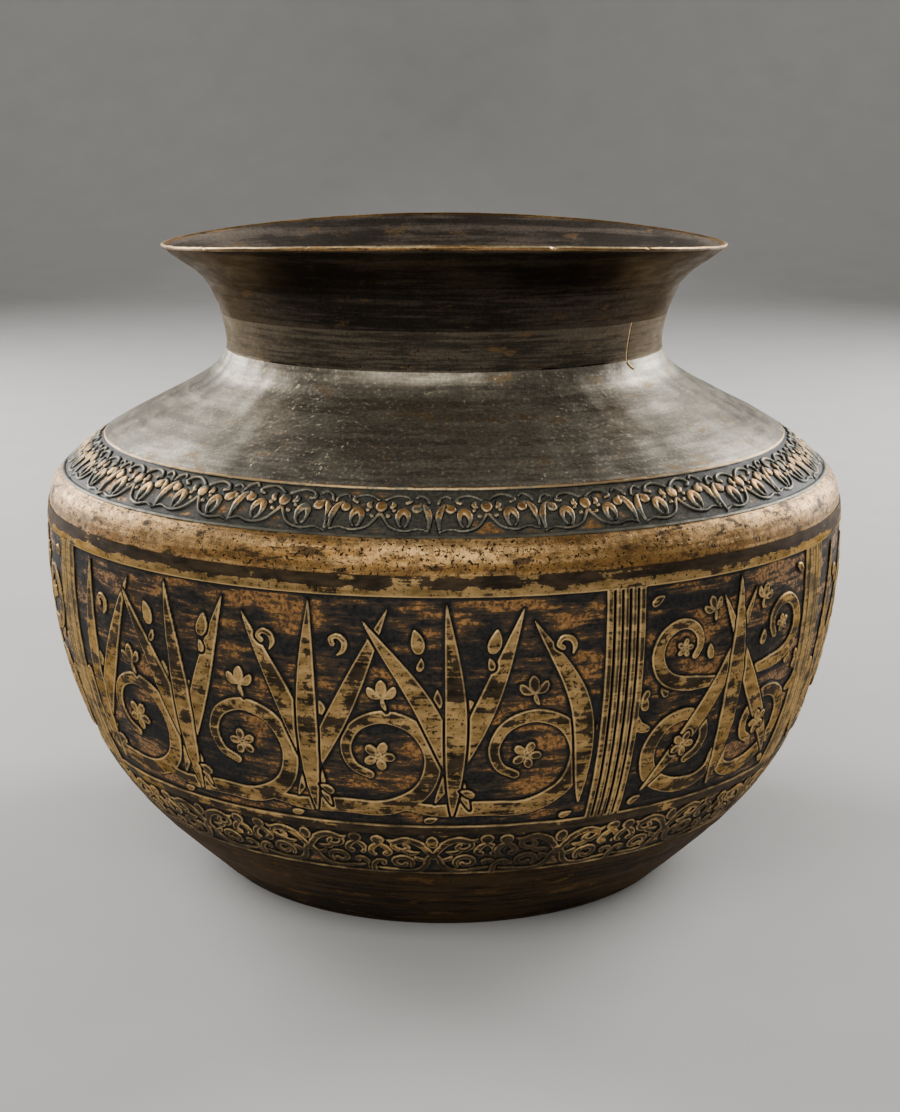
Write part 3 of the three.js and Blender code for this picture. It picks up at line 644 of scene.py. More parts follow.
def scraped_lac(name, black_low, black_high, thin_tone, black_roughness):
    """Lac that lies level, with bare metal where it has come away."""
    finish, node, place, smear, drawn = new_finish(name)
    near = node("Attribute", take="Fac", attribute_name="near")

    # wear: ragged patches and streaks, in some regions more, and less beside a stroke, which keeps the lac
    # black there, partly as painted shade
    ragged = node("TexNoise", {"Vector": smear, "Scale": 1 / LAC_PATCH, "Detail": 11.0, "Roughness": 0.7})
    streak = node("TexNoise", {"Vector": drawn, "Scale": 1 / LAC_STREAK, "Detail": 5.0, "Roughness": 0.6})
    worn = node("Math", {0: streak, 1: 0.35, 2: ragged}, operation="MULTIPLY_ADD")
    region = node("TexNoise", {"Vector": place, "Scale": 1 / LAC_REGION, "Detail": 2.0})
    worn = node("Math", {0: region, 1: 0.25, 2: worn}, operation="MULTIPLY_ADD")
    beside = node("MapRange", {"Value": near, "From Min": 0.35, "From Max": 1.3, "To Min": -0.14,
                               "To Max": 0.0})
    worn = node("Math", {0: worn, 1: beside}, operation="ADD")
    bare = node("MapRange", {"Value": worn, "From Min": BARE_FROM, "From Max": BARE_FROM + 0.04},
                interpolation_type="SMOOTHSTEP")
    crumb = node("TexNoise", {"Vector": place, "Scale": 1 / PIT_SIZE, "Detail": 3.0, "Roughness": 0.65})
    crumbs = node("MapRange", {"Value": crumb, "From Min": 0.54, "From Max": 0.6})
    bare = node("Math", {0: bare, 1: crumbs}, operation="SUBTRACT", use_clamp=True)

    # colours: black, browner where it is thin, and copper where it has gone
    copper = node("ValToRGB", {"Fac": crumb}, stops=[(0.35, "B38450"), (0.6, "6A4B2B")])
    black = node("ValToRGB", {"Fac": crumb}, stops=[(0.35, black_low), (0.7, black_high)])
    thin = node("MapRange", {"Value": worn, "From Min": BARE_FROM - THIN_BEFORE, "From Max": BARE_FROM,
                             "To Max": 0.6})
    veil = node("Mix", {FACTOR: thin, COLOUR_A: black, COLOUR_B: thin_tone}, MIXED, data_type="RGBA")
    shade = node("Mix", {FACTOR: bare, COLOUR_A: veil, COLOUR_B: copper}, MIXED, data_type="RGBA")

    # surface
    metallic = node("MapRange", {"Value": bare, "To Max": 0.6})
    roughness = node("MapRange", {"Value": bare, "To Min": black_roughness, "To Max": 0.5})
    level = node("Math", {0: bare, 1: -0.8, 2: crumb}, operation="MULTIPLY_ADD")
    bumps = node("Bump", {"Height": level, "Strength": 0.6, "Distance": 0.22 * MM})
    surface = node("BsdfPrincipled", {"Base Color": shade, "Metallic": metallic, "Roughness": roughness,
                                      "Normal": bumps, "Specular IOR Level": 0.2})
    node("OutputMaterial", {"Surface": surface})
    return finish


BLACK_LAC = scraped_lac("black_lac_scraped_level", "101112", "2E2C29", "57442F", 0.74)
DUSTY_LAC = scraped_lac("black_lac_under_old_dust", "2F2E29", "524F44", "5A5242", 0.5)

# %% [markdown]
# ## Patinated and rubbed sheet
# The plain parts are the same brass, and differ in how dark the air and the hand have left them.
# The lower bowl and the base are also kept dark as painted shade under the belly.
# One recipe serves them all. Two tones lie in level streaks and in the rings that turning left.
# A third comes in ragged smears and in a mottle of corroded grains. A fine grain lies over it
# all, with small specks that are dark pits on bright metal and bright nicks on dark metal.
# The keel is rubbed bright and the mouth is nearly black. A metal's reflection turns white at a
# grazing angle, and patina keeps it browner, so the darkest parts get a tint for that edge.

# %% Values for the finish of the plain parts
MOTTLE_SIZE = 3.2  # mm between the grains of corroded metal
TURNED_HEIGHT = 2.6  # mm between the rings that turning left
CLOUD_SIZE = 18.0  # mm between the broad changes of tone
BLEND_FROM, BLEND_FULL = 1.15, 1.45  # where the first tone starts to turn and where it is the second
GRAIN_DARK, GRAIN_LIGHT = 0.72, 1.34  # how much the fine grain darkens and lightens the metal
print("turning rings every", TURNED_HEIGHT, "mm, specks every", PIT_SIZE, "mm")


# %% The finish of the plain parts
def plain_brass(name, low, high, smear_tone, smear_from, speck_tone, speck_from, streak_height=1.2,
                smear_height=5.0, pit_depth=0.06, roughness=0.42, metallic=0.85, mottle_from=0.9,
                edge_tint="FFFFFF"):
    """Sheet brass under patina. The number after a tone is the noise value from which it shows."""
    finish, node, place, smear, drawn = new_finish(name)

    # two tones in streaks, rings and clouds
    streak = node("TexNoise", {"Vector": drawn, "Scale": 1 / streak_height, "Detail": 8.0,
                               "Roughness": 0.65})
    cloud = node("TexNoise", {"Vector": smear, "Scale": 1 / CLOUD_SIZE, "Detail": 6.0, "Roughness": 0.6})
    height = node("SeparateXYZ", {"Vector": place}, "Z")
    turned = node("TexNoise", {"W": height, "Scale": 1 / TURNED_HEIGHT, "Detail": 4.0}, noise_dimensions="1D")
    both = node("Math", {0: turned, 1: 0.6, 2: streak}, operation="MULTIPLY_ADD")
    both = node("Math", {0: both, 1: cloud}, operation="ADD")
    blend = node("MapRange", {"Value": both, "From Min": BLEND_FROM, "From Max": BLEND_FULL},
                 interpolation_type="SMOOTHSTEP")
    shade = node("Mix", {FACTOR: blend, COLOUR_A: low, COLOUR_B: high}, MIXED, data_type="RGBA")

    # the third tone, as a mottle of grains and as ragged smears
    mottle = node("TexNoise", {"Vector": place, "Scale": 1 / MOTTLE_SIZE, "Detail": 8.0, "Roughness": 0.75})
    mottle = node("MapRange", {"Value": mottle, "From Min": mottle_from, "From Max": mottle_from + 0.08,
                               "To Max": 0.5})
    shade = node("Mix", {FACTOR: mottle, COLOUR_A: shade, COLOUR_B: smear_tone}, MIXED, data_type="RGBA")
    ragged = node("TexNoise", {"Vector": smear, "Scale": 1 / smear_height, "Detail": 10.0, "Roughness": 0.7})
    smeared = node("MapRange", {"Value": ragged, "From Min": smear_from, "From Max": smear_from + 0.06,
                                "To Max": 0.85}, interpolation_type="SMOOTHSTEP")
    shade = node("Mix", {FACTOR: smeared, COLOUR_A: shade, COLOUR_B: smear_tone}, MIXED, data_type="RGBA")

    # fine grain and specks, from one noise
    speck = node("TexNoise", {"Vector": place, "Scale": 1 / PIT_SIZE, "Detail": 4.0, "Roughness": 0.7})
    grain = node("MapRange", {"Value": speck, "From Min": 0.36, "From Max": 0.64, "To Min": GRAIN_DARK,
                              "To Max": GRAIN_LIGHT})
    shade = node("Mix", {FACTOR: 1.0, COLOUR_A: shade, COLOUR_B: grain}, MIXED, data_type="RGBA",
                 blend_type="MULTIPLY")
    specks = node("MapRange", {"Value": speck, "From Min": speck_from, "From Max": speck_from + 0.05})
    shade = node("Mix", {FACTOR: specks, COLOUR_A: shade, COLOUR_B: speck_tone}, MIXED, data_type="RGBA")

    # surface: the smears are rougher, and the specks are sunk
    level = node("Math", {0: specks, 1: -1.0, 2: streak}, operation="MULTIPLY_ADD")
    bumps = node("Bump", {"Height": level, "Strength": 0.6, "Distance": pit_depth * MM})
    gloss = node("MapRange", {"Value": ragged, "From Min": 0.38, "From Max": 0.62, "To Min": roughness - 0.08,
                              "To Max": roughness + 0.1})
    surface = node("BsdfPrincipled", {"Base Color": shade, "Metallic": metallic, "Roughness": gloss,
                                      "Normal": bumps, "Specular Tint": edge_tint})
    node("OutputMaterial", {"Surface": surface})
    return finish


# rubbed bright and pitted, so it catches the eye first
KEEL_BRASS = plain_brass("keel_brass_rubbed_bright", "A2783F", "E2B475", "403223", 0.55, "241D14", 0.55,
                         streak_height=2.4, smear_height=4.0, pit_depth=0.16, roughness=0.46, metallic=0.85,
                         mottle_from=0.47)
# brushed and grey-brown, but smooth enough for broad soft highlights
SHOULDER_BRASS = plain_brass("shoulder_brass_brushed_dark", "6E6658", "8E8573", "80694A", 0.57, "D6C29A",
                             0.63, roughness=0.38, metallic=0.8, mottle_from=0.57)
# browner, with level marks all round
NECK_BRASS = plain_brass("neck_ring_brass_brown", "332E27", "584F42", "6E5638", 0.6, "1E1A16", 0.6,
                         streak_height=0.8, roughness=0.4, metallic=0.8, mottle_from=0.57, edge_tint="F0E2CE")
# nearly black, and light only where it turns away
MOUTH_BRASS = plain_brass("mouth_brass_turned_black", "24201C", "423A32", "5A4630", 0.6, "15120F", 0.62,
                          streak_height=0.8, pit_depth=0.04, roughness=0.4, metallic=0.85, mottle_from=0.6,
                          edge_tint="C6BAAC")
# worn pale along the top of the lip, and half worn below it
LIP_BRASS = plain_brass("lip_brass_worn_pale", "C99E60", "F2D6A2", "9A7A4C", 0.64, "4A3820", 0.66,
                        roughness=0.38, metallic=0.9)
LIP_SIDE_BRASS = plain_brass("lip_side_brass_half_worn", "5E4729", "9A764A", "2A2018", 0.56, "1E1812", 0.6,
                             roughness=0.44, metallic=0.85)
# dull brown, and the roughest of them all; its darkness is partly painted shade under the belly
BASE_BRASS = plain_brass("base_brass_brown_with_painted_shade", "281F14", "493821", "6A5030", 0.56, "1A1510", 0.59,
                         streak_height=2.0, pit_depth=0.08, roughness=0.6, metallic=0.55, edge_tint="A08A6C")
# filed flat, and yellower and brighter than the ring that it closes
BRAZE = plain_brass("braze_filed_flat", "A88A5A", "C8A674", "5A4630", 0.6, "4A3820", 0.64, roughness=0.4,
                    metallic=0.95)
# out of reach of hands, so it is mottled all over
INSIDE_BRASS = plain_brass("inside_brass_mottled", "443B32", "75685A", "7E6444", 0.58, "221C17", 0.64,
                           streak_height=3.0, roughness=0.5, metallic=0.75)

# %% [markdown]
# ## The leaves and vines of the panels
# Six panels lie between upright reeded dividers, three wide and three narrow by turns. Each is
# filled with a row of curling vines, with a tuft of three blades between each two, and small
# flowers and leaves in the gaps. The vines and blades are the ones that the frame has. The small
# things are drawn here, a little differently in each panel.

# %% Vines and blades
CURL_KNOTS, CURL_START = 8, -85.0
VINE_WIDTH, VINE_END_SHARE = 6.4, 0.5
BLADE_WIDTH = 6.8


def vine(width, roots, middle, radius, end_radius, sweep):
    """A stem that comes in along its roots and curls up round a middle, thinner towards its end."""
    share = np.linspace(0, 1, CURL_KNOTS + 1)
    turn = np.radians(CURL_START + sweep * share)
    curl = middle + (radius + (end_radius - radius) * share) * np.exp(1j * turn)
    line = path(*roots, *curl)
    along = share_along(line)
    swell = np.minimum(1, 0.6 + 2 * along)
    taper = 1 - (1 - VINE_END_SHARE) * np.maximum(0, along - 0.4) / 0.6
    return line, width / 2 * swell * taper


def blade(width, *spine):
    """A long leaf, widest a little below its middle."""
    return leaf(width, *spine, fullness=0.86)


print("a vine is", VINE_WIDTH, "mm wide and a blade", BLADE_WIDTH, "mm")


# %% Small flowers, leaves and buds
def leaflet(width, length, place, turn):
    """A pointed leaf that bends to one side."""
    return moved([leaf(width, 0, length * (0.25 + 0.5j), 1j * length, fullness=0.7)], place, turn)


def flower(size, place, turn):
    """A small open flower seen from above."""
    ways = np.exp(2j * math.pi * np.arange(5) / 5)
    petals = [leaf(3.1, way, 3.0 * way, 5.0 * way, fullness=1.25) for way in ways]
    return moved([bead(0, 1.2)] + petals, place, turn, size)


def trefoil(size, place, turn):
    """Three petals on a short stalk."""
    petals = [leaf(3.6, 0, 2.5j, 6.4j, fullness=1.2), leaf(1.5, 0, 0.2 - 2j, 1.2 - 4.8j)]
    petals += [leaf(2.8, 0, side * 2.8 + 1.2j, side * 4.6 + 4.0j, fullness=1.3) for side in (-1, 1)]
    return moved(petals, place, turn, size)


def bud(length, place, turn):
    """A closed bud, fullest near its stalk."""
    return moved([leaf(0.55 * length, 0, 0.3 + 0.5j * length, 1j * length, fullness=0.62)], place, turn)


def tendril(size, place, turn):
    """A small hooked shoot."""
    curl = path(0, 1.6 + 2.4j, 1.2 + 5.2j, -1.4 + 6.6j, -3.4 + 5j, -2.4 + 3.4j)
    return moved([brush(curl, 0.6, 1.8, 2.2, 2.0, 1.7, 1.9)], place, turn, size)


print("a flower has", len(flower(1, 0, 0)), "strokes and a trefoil", len(trefoil(1, 0, 0)))

# %% The wide panel's spray, in mm from the panel's lower left corner
CURLS, FIRST_TUFT, EDGE_GAP, TIP_GAP = 4, 10.0, 0.5, 1.6
CURL_HEIGHT, CURL_END, CURL_SWEEP = 28.5, 8.0, 330.0
BEND_HEIGHT = 45.0
LEFT_LEANS, RIGHT_LEANS, TOP_LEANS = [0, -24, -20, -28, -23], [27, 21, 28, 22], [4, -3, 3, -2]
LEAFLETS = ((12, 30), (48, -20), (140, 62), (168, 18), (205, 118))  # place on the curl and turn, in degrees


def wide_spray(width, height, draw):
    """Groups of strokes, each one over the last. The draw moves the small things about."""
    pitch = (width - FIRST_TUFT - EDGE_GAP) / CURLS
    radius = (pitch - VINE_WIDTH) / 2
    low, tip = CURL_HEIGHT - radius, height - TIP_GAP
    under, vines, left, right, upright, small = [], [], [], [], [], []
    for i in range(CURLS):
        x = FIRST_TUFT + (i + 0.5) * pitch
        middle = x + CURL_HEIGHT * 1j
        roots = [x - 42 + (low + 1.6) * 1j, x - 29 + (low - 0.8) * 1j]
        if i == 0:
            roots = [3 + (CURL_HEIGHT + 9) * 1j, 3.5 + (low + 12) * 1j, x - 25 + (low + 3) * 1j]
        vines.append(vine(VINE_WIDTH, roots + [x - 14 + low * 1j], middle, radius, CURL_END, CURL_SWEEP))
        for at, way in LEAFLETS:
            way += draw.uniform(-10, 10)
            place = middle + (radius + 1) * np.exp(1j * math.radians(at))
            under += leaflet(3.6, draw.uniform(8, 10), place, way)
        small += flower(draw.uniform(0.92, 1.04), middle + draw.uniform(-0.6, 0.6), draw.uniform(0, 72))
        small += trefoil(0.95, x + 1.8 + (49.5 + draw.uniform(-1, 1)) * 1j, draw.uniform(-10, 10))
        for number, (place, way) in enumerate([(x - 12 + 67j, -8), (x + 13.5 + 67j, 10)]):
            way += draw.uniform(-10, 10)
            if (number + i) % 2:
                small += bud(7.5, place - 2j, way) + bud(4.0, place - 8j, -way)
            else:
                small += tendril(0.95, place - 4j, way)
        small += bud(5.0, x - 17 + (5.2 + low) * 1j, 62 + draw.uniform(-6, 6))
        small += bud(4.6, x + 14.5 + 2.2j, -74 + draw.uniform(-6, 6))
    for i in range(CURLS + 1):
        place = FIRST_TUFT + i * pitch
        if i > 0:
            base, lean = min(place + 6, width - 4), LEFT_LEANS[i]
            left.append(blade(BLADE_WIDTH, base + 7j, place + 0.3 * lean + BEND_HEIGHT * 1j,
                              place + lean + (tip - 6) * 1j))
        if i < CURLS:
            lean = RIGHT_LEANS[i]
            right.append(blade(BLADE_WIDTH, place - 6 + 10j, place + 0.45 * lean + BEND_HEIGHT * 1j,
                               place + lean + (tip - 2) * 1j))
            upright.append(blade(BLADE_WIDTH, place + 4j, place + 1 + BEND_HEIGHT * 1j,
                                 place + TOP_LEANS[i] + tip * 1j))
    return under, vines, right, left, upright, small


# %% The narrow panel's spray, with one half mirrored on to the other
STEM_GAP = 3.0
LOW_HEIGHT, LOW_END = 24.5, 7.0
HIGH_WIDTH, HIGH_RADIUS, HIGH_HEIGHT, HIGH_PLACE, HIGH_END, HIGH_SWEEP = 5.2, 12.0, 60.0, 24.0, 5.5, 300.0
CROSSED_WIDTH, MIDDLE_WIDTH = 6.2, 7.6


def narrow_spray(width, height, draw):
    """As the wide spray, but both halves are alike."""
    middle, tip = width / 2, height - TIP_GAP
    radius = (middle - VINE_WIDTH / 2 - STEM_GAP - EDGE_GAP) / 2
    place, low = STEM_GAP + radius, LOW_HEIGHT - radius
    high_low = (HIGH_HEIGHT - HIGH_RADIUS - 1.5) * 1j
    low_middle, high_middle = place + LOW_HEIGHT * 1j, HIGH_PLACE + HIGH_HEIGHT * 1j
    half = [vine(VINE_WIDTH, [2.5 + (low + 10) * 1j, 3.5 + (low + 3) * 1j, place - 9 + (low - 1) * 1j],
                 low_middle, radius, LOW_END, CURL_SWEEP),
            vine(HIGH_WIDTH, [6 + high_low, 13 + high_low], high_middle, HIGH_RADIUS, HIGH_END, HIGH_SWEEP)]
    crossed = blade(CROSSED_WIDTH, 33 + 8j, 9 + (BEND_HEIGHT - 3) * 1j, -8 + (tip - 5) * 1j)
    upright = blade(MIDDLE_WIDTH, 3j, 0.3 + (BEND_HEIGHT - 5) * 1j, tip * 1j)
    under = leaflet(3.4, 8, low_middle + (radius + 1) * np.exp(0.5j), -40) + leaflet(3.2, 7, 30 + 44j, 20)
    small = flower(0.92, low_middle, draw.uniform(0, 72)) + flower(0.62, high_middle, draw.uniform(0, 72))
    small += bud(5.5, 37.2 + 40.5j, -6) + bud(5.0, 12.5 + 55j, -8) + trefoil(0.8, 12 + 71j, -20)
    small += bud(5.0, 36.8 + 76j, 60) + bud(5.0, 36.4 + 3.4j, 60) + bud(4.5, 37 + 47j, -150)
    other = moved([crossed], mirror=True)
    groups = mirrored(under), mirrored(half), other, [crossed], [upright], mirrored(small)
    return [moved(group, shift=middle) for group in groups]


SPRAYS = {"wide": wide_spray, "narrow": narrow_spray}
print("there is a spray for", " and ".join(SPRAYS), "panels")

# %% [markdown]
# ## The panels
# Each panel runs from the middle of one divider to the middle of the next, so that the joints
# lie between two reeds, where nobody looks for them. We could carve the metal and the lac as one
# surface, but the lac was melted in, so it is a piece of its own, just below the tops of the
# strokes. Both read the same field of distances.

# %% Where the panels lie
FIRST_DIVIDER, NARROW_ANGLE, PAIR_ANGLE = 22.5, 36.0, 120.0
DIVIDER_WIDTH = 13.6
REED_GROOVES, REED_GROOVE_WIDTH = 4, 0.9
REED_GROOVE_MOST = 0.25  # a groove's largest distance in the field, so it is shallower than the ground
BAND_LOW, BAND_HIGH = run_at(51.2), run_at(142.0)
WALL, SHOULDER_WALL = 2.8, 2.6  # thickness of the bowl's wall and of the shoulder's, in mm
RELIEF_GRID = 0.5
panel_radius = middle_radius(PANELS)
print("a wide panel is", round(math.radians(PAIR_ANGLE - NARROW_ANGLE) * panel_radius, 1), "mm round")

# %% The drawing of a panel
def panel_field(kind, across, up, width, height, seed):
    """The spray of one panel. across runs from the panel's left edge and up from its lower one."""
    field = np.full((len(up), len(across)), FAR)
    groups = SPRAYS[kind](width, height, np.random.default_rng(seed))
    for group in groups:
        field = carve(field, across, up, group)
    print(kind, "spray:", sum(len(group) for group in groups), "strokes")
    return field


def frame_and_reeds(field, across, up, width, height, half_divider):
    """Adds the plain frame round a panel, and the reeds of its two dividers."""
    within = np.minimum(up, height - up)[:, None]
    rim = np.minimum(within, np.minimum(across, width - across)[None, :])
    field = np.minimum(field, rim)
    pitch = DIVIDER_WIDTH / (REED_GROOVES + 1)
    for k in range(REED_GROOVES // 2):
        for middle in (-half_divider + (k + 0.5) * pitch, width + half_divider - (k + 0.5) * pitch):
            groove = 0.5 * REED_GROOVE_WIDTH - np.abs(across - middle)[None, :]
            field = np.maximum(field, np.minimum(np.minimum(groove, within), REED_GROOVE_MOST))
    return field


# %% Carved wall and melted lac, for the panels and the bands
LAC_LEVEL, LAC_THICKNESS, LAC_GRID = 0.8, 0.5, 1.0  # mm below the relief's tops, mm thick, grid in mm
CARVED_DENT_SIZE, LAC_WAVE, LAC_WAVE_SIZE = 9, 0.05, 6


def carved_wall(name, run, angle, field, dent, seed, wall, back_grid, around, strips):
    """Wall that is carved to a field of distances, with a plain back."""
    outer = on_pot(run, angle, relief(field) + dent * dents(run, angle, CARVED_DENT_SIZE, seed))
    inner = on_pot(between(run[0], run[-1], back_grid), angle, -wall)
    return closed_piece(name, outer, inner, around, strips, {"edge": field})


def lac_fill(name, run, angle, field, lac_run, lac_angle, seed, back_grid, around, strips):
    """A thin, slightly wavy layer of lac, which knows how near the next stroke is."""
    near = np.stack([np.interp(lac_angle, angle, row) for row in field])
    near = np.stack([np.interp(lac_run, run, column) for column in near.T], axis=1)
    face = on_pot(lac_run, lac_angle, -LAC_LEVEL + LAC_WAVE * dents(lac_run, lac_angle, LAC_WAVE_SIZE, seed))
    back = on_pot(between(lac_run[0], lac_run[-1], back_grid), lac_angle, -LAC_LEVEL - LAC_THICKNESS)
    return closed_piece(name, face, back, around, strips, {"near": near})


print("the lac lies", LAC_LEVEL, "mm below the tops, and the ground", RELIEF_DEPTH, "mm")

# %% Carve the panels and fill them
PANEL_DENT, PANEL_INSET, PANEL_BACK_GRID = 0.06, 0.5, 12  # mm; the lac reaches the inset under the frame


def make_panel(number, kind, start, end):
    """One panel between two angles: its carved wall, and the lac in it."""
    half_divider = DIVIDER_WIDTH / 2
    turn = math.degrees(1 / panel_radius)
    angle = between(start, end, RELIEF_GRID * turn)
    run = between(BAND_LOW, BAND_HIGH, RELIEF_GRID)
    width, height = (end - start) / turn - DIVIDER_WIDTH, PANELS[1] - PANELS[0]
    across, up = (angle - start) / turn - half_divider, run - PANELS[0]
    field = panel_field(kind, across, up, width, height, seed=10 * number + len(kind))
    field = frame_and_reeds(field, across, up, width, height, half_divider)
    strips = 1 + round(width / height)
    carved = carved_wall(f"{kind}_panel_carving_{number}", run, angle, field, PANEL_DENT, 4, WALL,
                         PANEL_BACK_GRID, False, strips)
    dress(carved, "relief_brass", [CARVED_BRASS, INSIDE_BRASS], "bowl_wall", f"{kind}_panel_spray_{number}")
    edge = (half_divider - PANEL_INSET) * turn
    lac_angle = between(start + edge, end - edge, LAC_GRID * turn)
    lac_run = between(PANELS[0] - PANEL_INSET, PANELS[1] + PANEL_INSET, LAC_GRID)
    lac = lac_fill(f"{kind}_panel_lac_fill_{number}", run, angle, field, lac_run, lac_angle, 5,
                     PANEL_BACK_GRID, False, strips)
    dress(lac, "black_lac", [BLACK_LAC, BLACK_LAC], f"{kind}_panel_lac_{number}")


for number in (1, 2, 3):
    first = FIRST_DIVIDER + (number - 1) * PAIR_ANGLE
    make_panel(number, "narrow", first, first + NARROW_ANGLE)
    make_panel(number, "wide", first + NARROW_ANGLE, first + PAIR_ANGLE)

# %% [markdown]
# ## The two scroll bands
# Each is a ring of carved wall with a ring of lac let into it, made the same way as a panel. On
# the pot the lower band was cut into the bowl's wall and the upper one into the shoulder.

# %% Carve the scroll bands and fill them
BAND_DENT, BAND_INSET, BAND_BACK_GRID, BAND_STRIPS, BAND_MARGIN = 0.05, 0.4, 8, 8, 0.8


def make_scroll_band(name, drawing, band, low, high, wall, slot, finish, lac_finish, node, seed):
    """A carved ring between the runs low and high, whose scrolls lie between those of band."""
    columns = BAND_STRIPS * round(2 * math.pi * middle_radius(band) / RELIEF_GRID / BAND_STRIPS)
    angle, run = round_angles(columns), between(low, high, RELIEF_GRID)
    field = band_field(drawing, band, angle, run, seed)
    carved = carved_wall(f"{name}_carving", run, angle, field, BAND_DENT, seed, wall, BAND_BACK_GRID, True,
                         BAND_STRIPS)
    dress(carved, slot, [finish, INSIDE_BRASS], node)
    lac_run = between(band[0] - BAND_INSET, band[1] + BAND_INSET, LAC_GRID)
    lac = lac_fill(f"{name}_lac_fill", run, angle, field, lac_run, angle[::2], seed + 1, BAND_BACK_GRID,
                     True, BAND_STRIPS)
    dress(lac, "black_lac", [lac_finish, lac_finish], f"{name}_lac")


make_scroll_band("lower_scroll", LOWER_DRAWING, LOWER_SCROLL, LOWER_SCROLL[0] - BAND_MARGIN, BAND_LOW, WALL,
                 "relief_brass", CARVED_BRASS, BLACK_LAC, "bowl_wall", seed=21)
make_scroll_band("upper_scroll", UPPER_DRAWING, UPPER_SCROLL, HOOP[1], UPPER_SCROLL[1] + BAND_MARGIN,
                 SHOULDER_WALL, "shoulder_brass", SHOULDER_CARVING, DUSTY_LAC, "shoulder_shell", seed=31)

# %% [markdown]
# ## The plain parts of the wall
# Between the carved bands the wall is plain: the lower bowl, the keel hoop over the joint of the
# two sheets, and the shoulder. A modifier could spin the outline round, but then each ring would
# be perfect. They are turned along the same outline, with shallow dents.

# %% Lower bowl, keel hoop and shoulder
PLAIN_GRID, PLAIN_BACK_GRID, PLAIN_DENT_SIZE, PLAIN_STRIPS = 1.4, 6, 16, 8
HOOP_WALL, HOOP_CROWN = 1.5, 0.35


def plain_ring(name, low, high, wall, dent, seed, columns, slot, finish, node, crown=0.0):
    """A plain ring of the wall. A crown rounds its face outward in the middle."""
    angle = round_angles(columns)
    run = between(low, high, PLAIN_GRID)
    share = (run - low) / (high - low)
    rounding = crown * (1 - (2 * share - 1)**4)[:, None]
    lift = rounding - crown + dent * dents(run, angle, PLAIN_DENT_SIZE, seed)
    back = on_pot(between(low, high, PLAIN_BACK_GRID), angle, -wall)
    ring = closed_piece(name, on_pot(run, angle, lift), back, True, PLAIN_STRIPS)
    dress(ring, slot, [finish, INSIDE_BRASS], node)


plain_ring("lower_bowl", run_at(2.8), LOWER_SCROLL[0] - BAND_MARGIN, WALL, 0.12, 10, 560, "base_brass",
           BASE_BRASS, "bowl_wall")
plain_ring("keel_band", HOOP[0], HOOP[1], HOOP_WALL, 0.08, 9, 880, "keel_brass", KEEL_BRASS, "keel_hoop",
           HOOP_CROWN)
plain_ring("shoulder_dome", UPPER_SCROLL[1] + BAND_MARGIN, NECK_RING[0], SHOULDER_WALL, 0.1, 13, 720,
           "shoulder_brass", SHOULDER_BRASS, "shoulder_shell")

# %% [markdown]
# ## The neck ring and its seam
# The ring is a strip that was bent round and brazed, so it is open at one place, and a narrow
# piece of braze fills the gap but for a crack. At its foot it has come away from the shoulder
# here and there, as dark slits. The braze ran out below the ring, in a small hook on the
# shoulder. These could be painted on, but a slit and a seam catch the light from every side only
# when they are cut.

# %% Neck ring and braze
SEAM_ANGLE, SEAM_WIDTH, SEAM_CRACK = 51.7, 1.0, 0.35  # the widths in mm
FOOT_SLITS = ((-48.5, -37.5), (23.0, 29.0), (33.5, 44.0), (100.0, 112.0), (-150.0, -141.0))  # angles
SLIT_ENDS, SLIT_DEPTHS = 1.5, [0.8, 0.35]  # degrees; mm at the ring's foot and just above it
NECK_WALL, NECK_ROUNDING, NECK_DENT, BRAZE_SUNK = 1.2, 0.15, 0.05, 0.05


def in_slits(angle):
    """1 where the ring has come away from the shoulder, 0 elsewhere, with short soft ends."""
    total = np.zeros(len(angle))
    for start, end in FOOT_SLITS:
        inside = (end - start) / 2 - np.abs(angle_between(angle, (start + end) / 2))
        total += np.clip(inside / SLIT_ENDS, 0, 1)
    return total


def neck_piece(name, start, end, slot, finish, node, sunk, strips):
    """A part of the ring between two angles."""
    low, high = NECK_RING
    angle = between(start, end, min(0.45, seam_half / 2))
    run = np.concatenate([[low, low + 0.4], between(low + 0.9, high, 0.8)])
    share = (run - low) / (high - low)
    rounding = NECK_ROUNDING * np.minimum(1, 3 * np.minimum(share, 1 - share))[:, None]
    lift = rounding - sunk + NECK_DENT * dents(run, angle, 22, seed=7)
    lift[:2] -= np.array(SLIT_DEPTHS)[:, None] * in_slits(angle)
    strip = closed_piece(name, on_pot(run, angle, lift), on_pot(between(low, high, 5), angle, -NECK_WALL),
                         False, strips)
    dress(strip, slot, [finish, INSIDE_BRASS], node)


seam_half = math.degrees(0.5 * SEAM_WIDTH / WAIST[0])
seam_crack = math.degrees(SEAM_CRACK / WAIST[0])
neck_piece("neck_ring_strip", SEAM_ANGLE + seam_half, SEAM_ANGLE + 360 - seam_half, "neck_brass", NECK_BRASS,
           "neck_ring", 0.0, 4)
neck_piece("neck_ring_braze", SEAM_ANGLE - seam_half, SEAM_ANGLE + seam_half - seam_crack, "braze", BRAZE,
           "neck_seam_braze", BRAZE_SUNK, 1)

# %% The braze that ran out on to the shoulder
TAIL_SECTION = ((-1.0, 0.02), (-0.75, 0.2), (-0.3, 0.33), (0.3, 0.33), (0.75, 0.2), (1.0, 0.02))
TAIL_UNDER = 0.9985  # the tail's underside, as a share of the distance from the middle of the foot


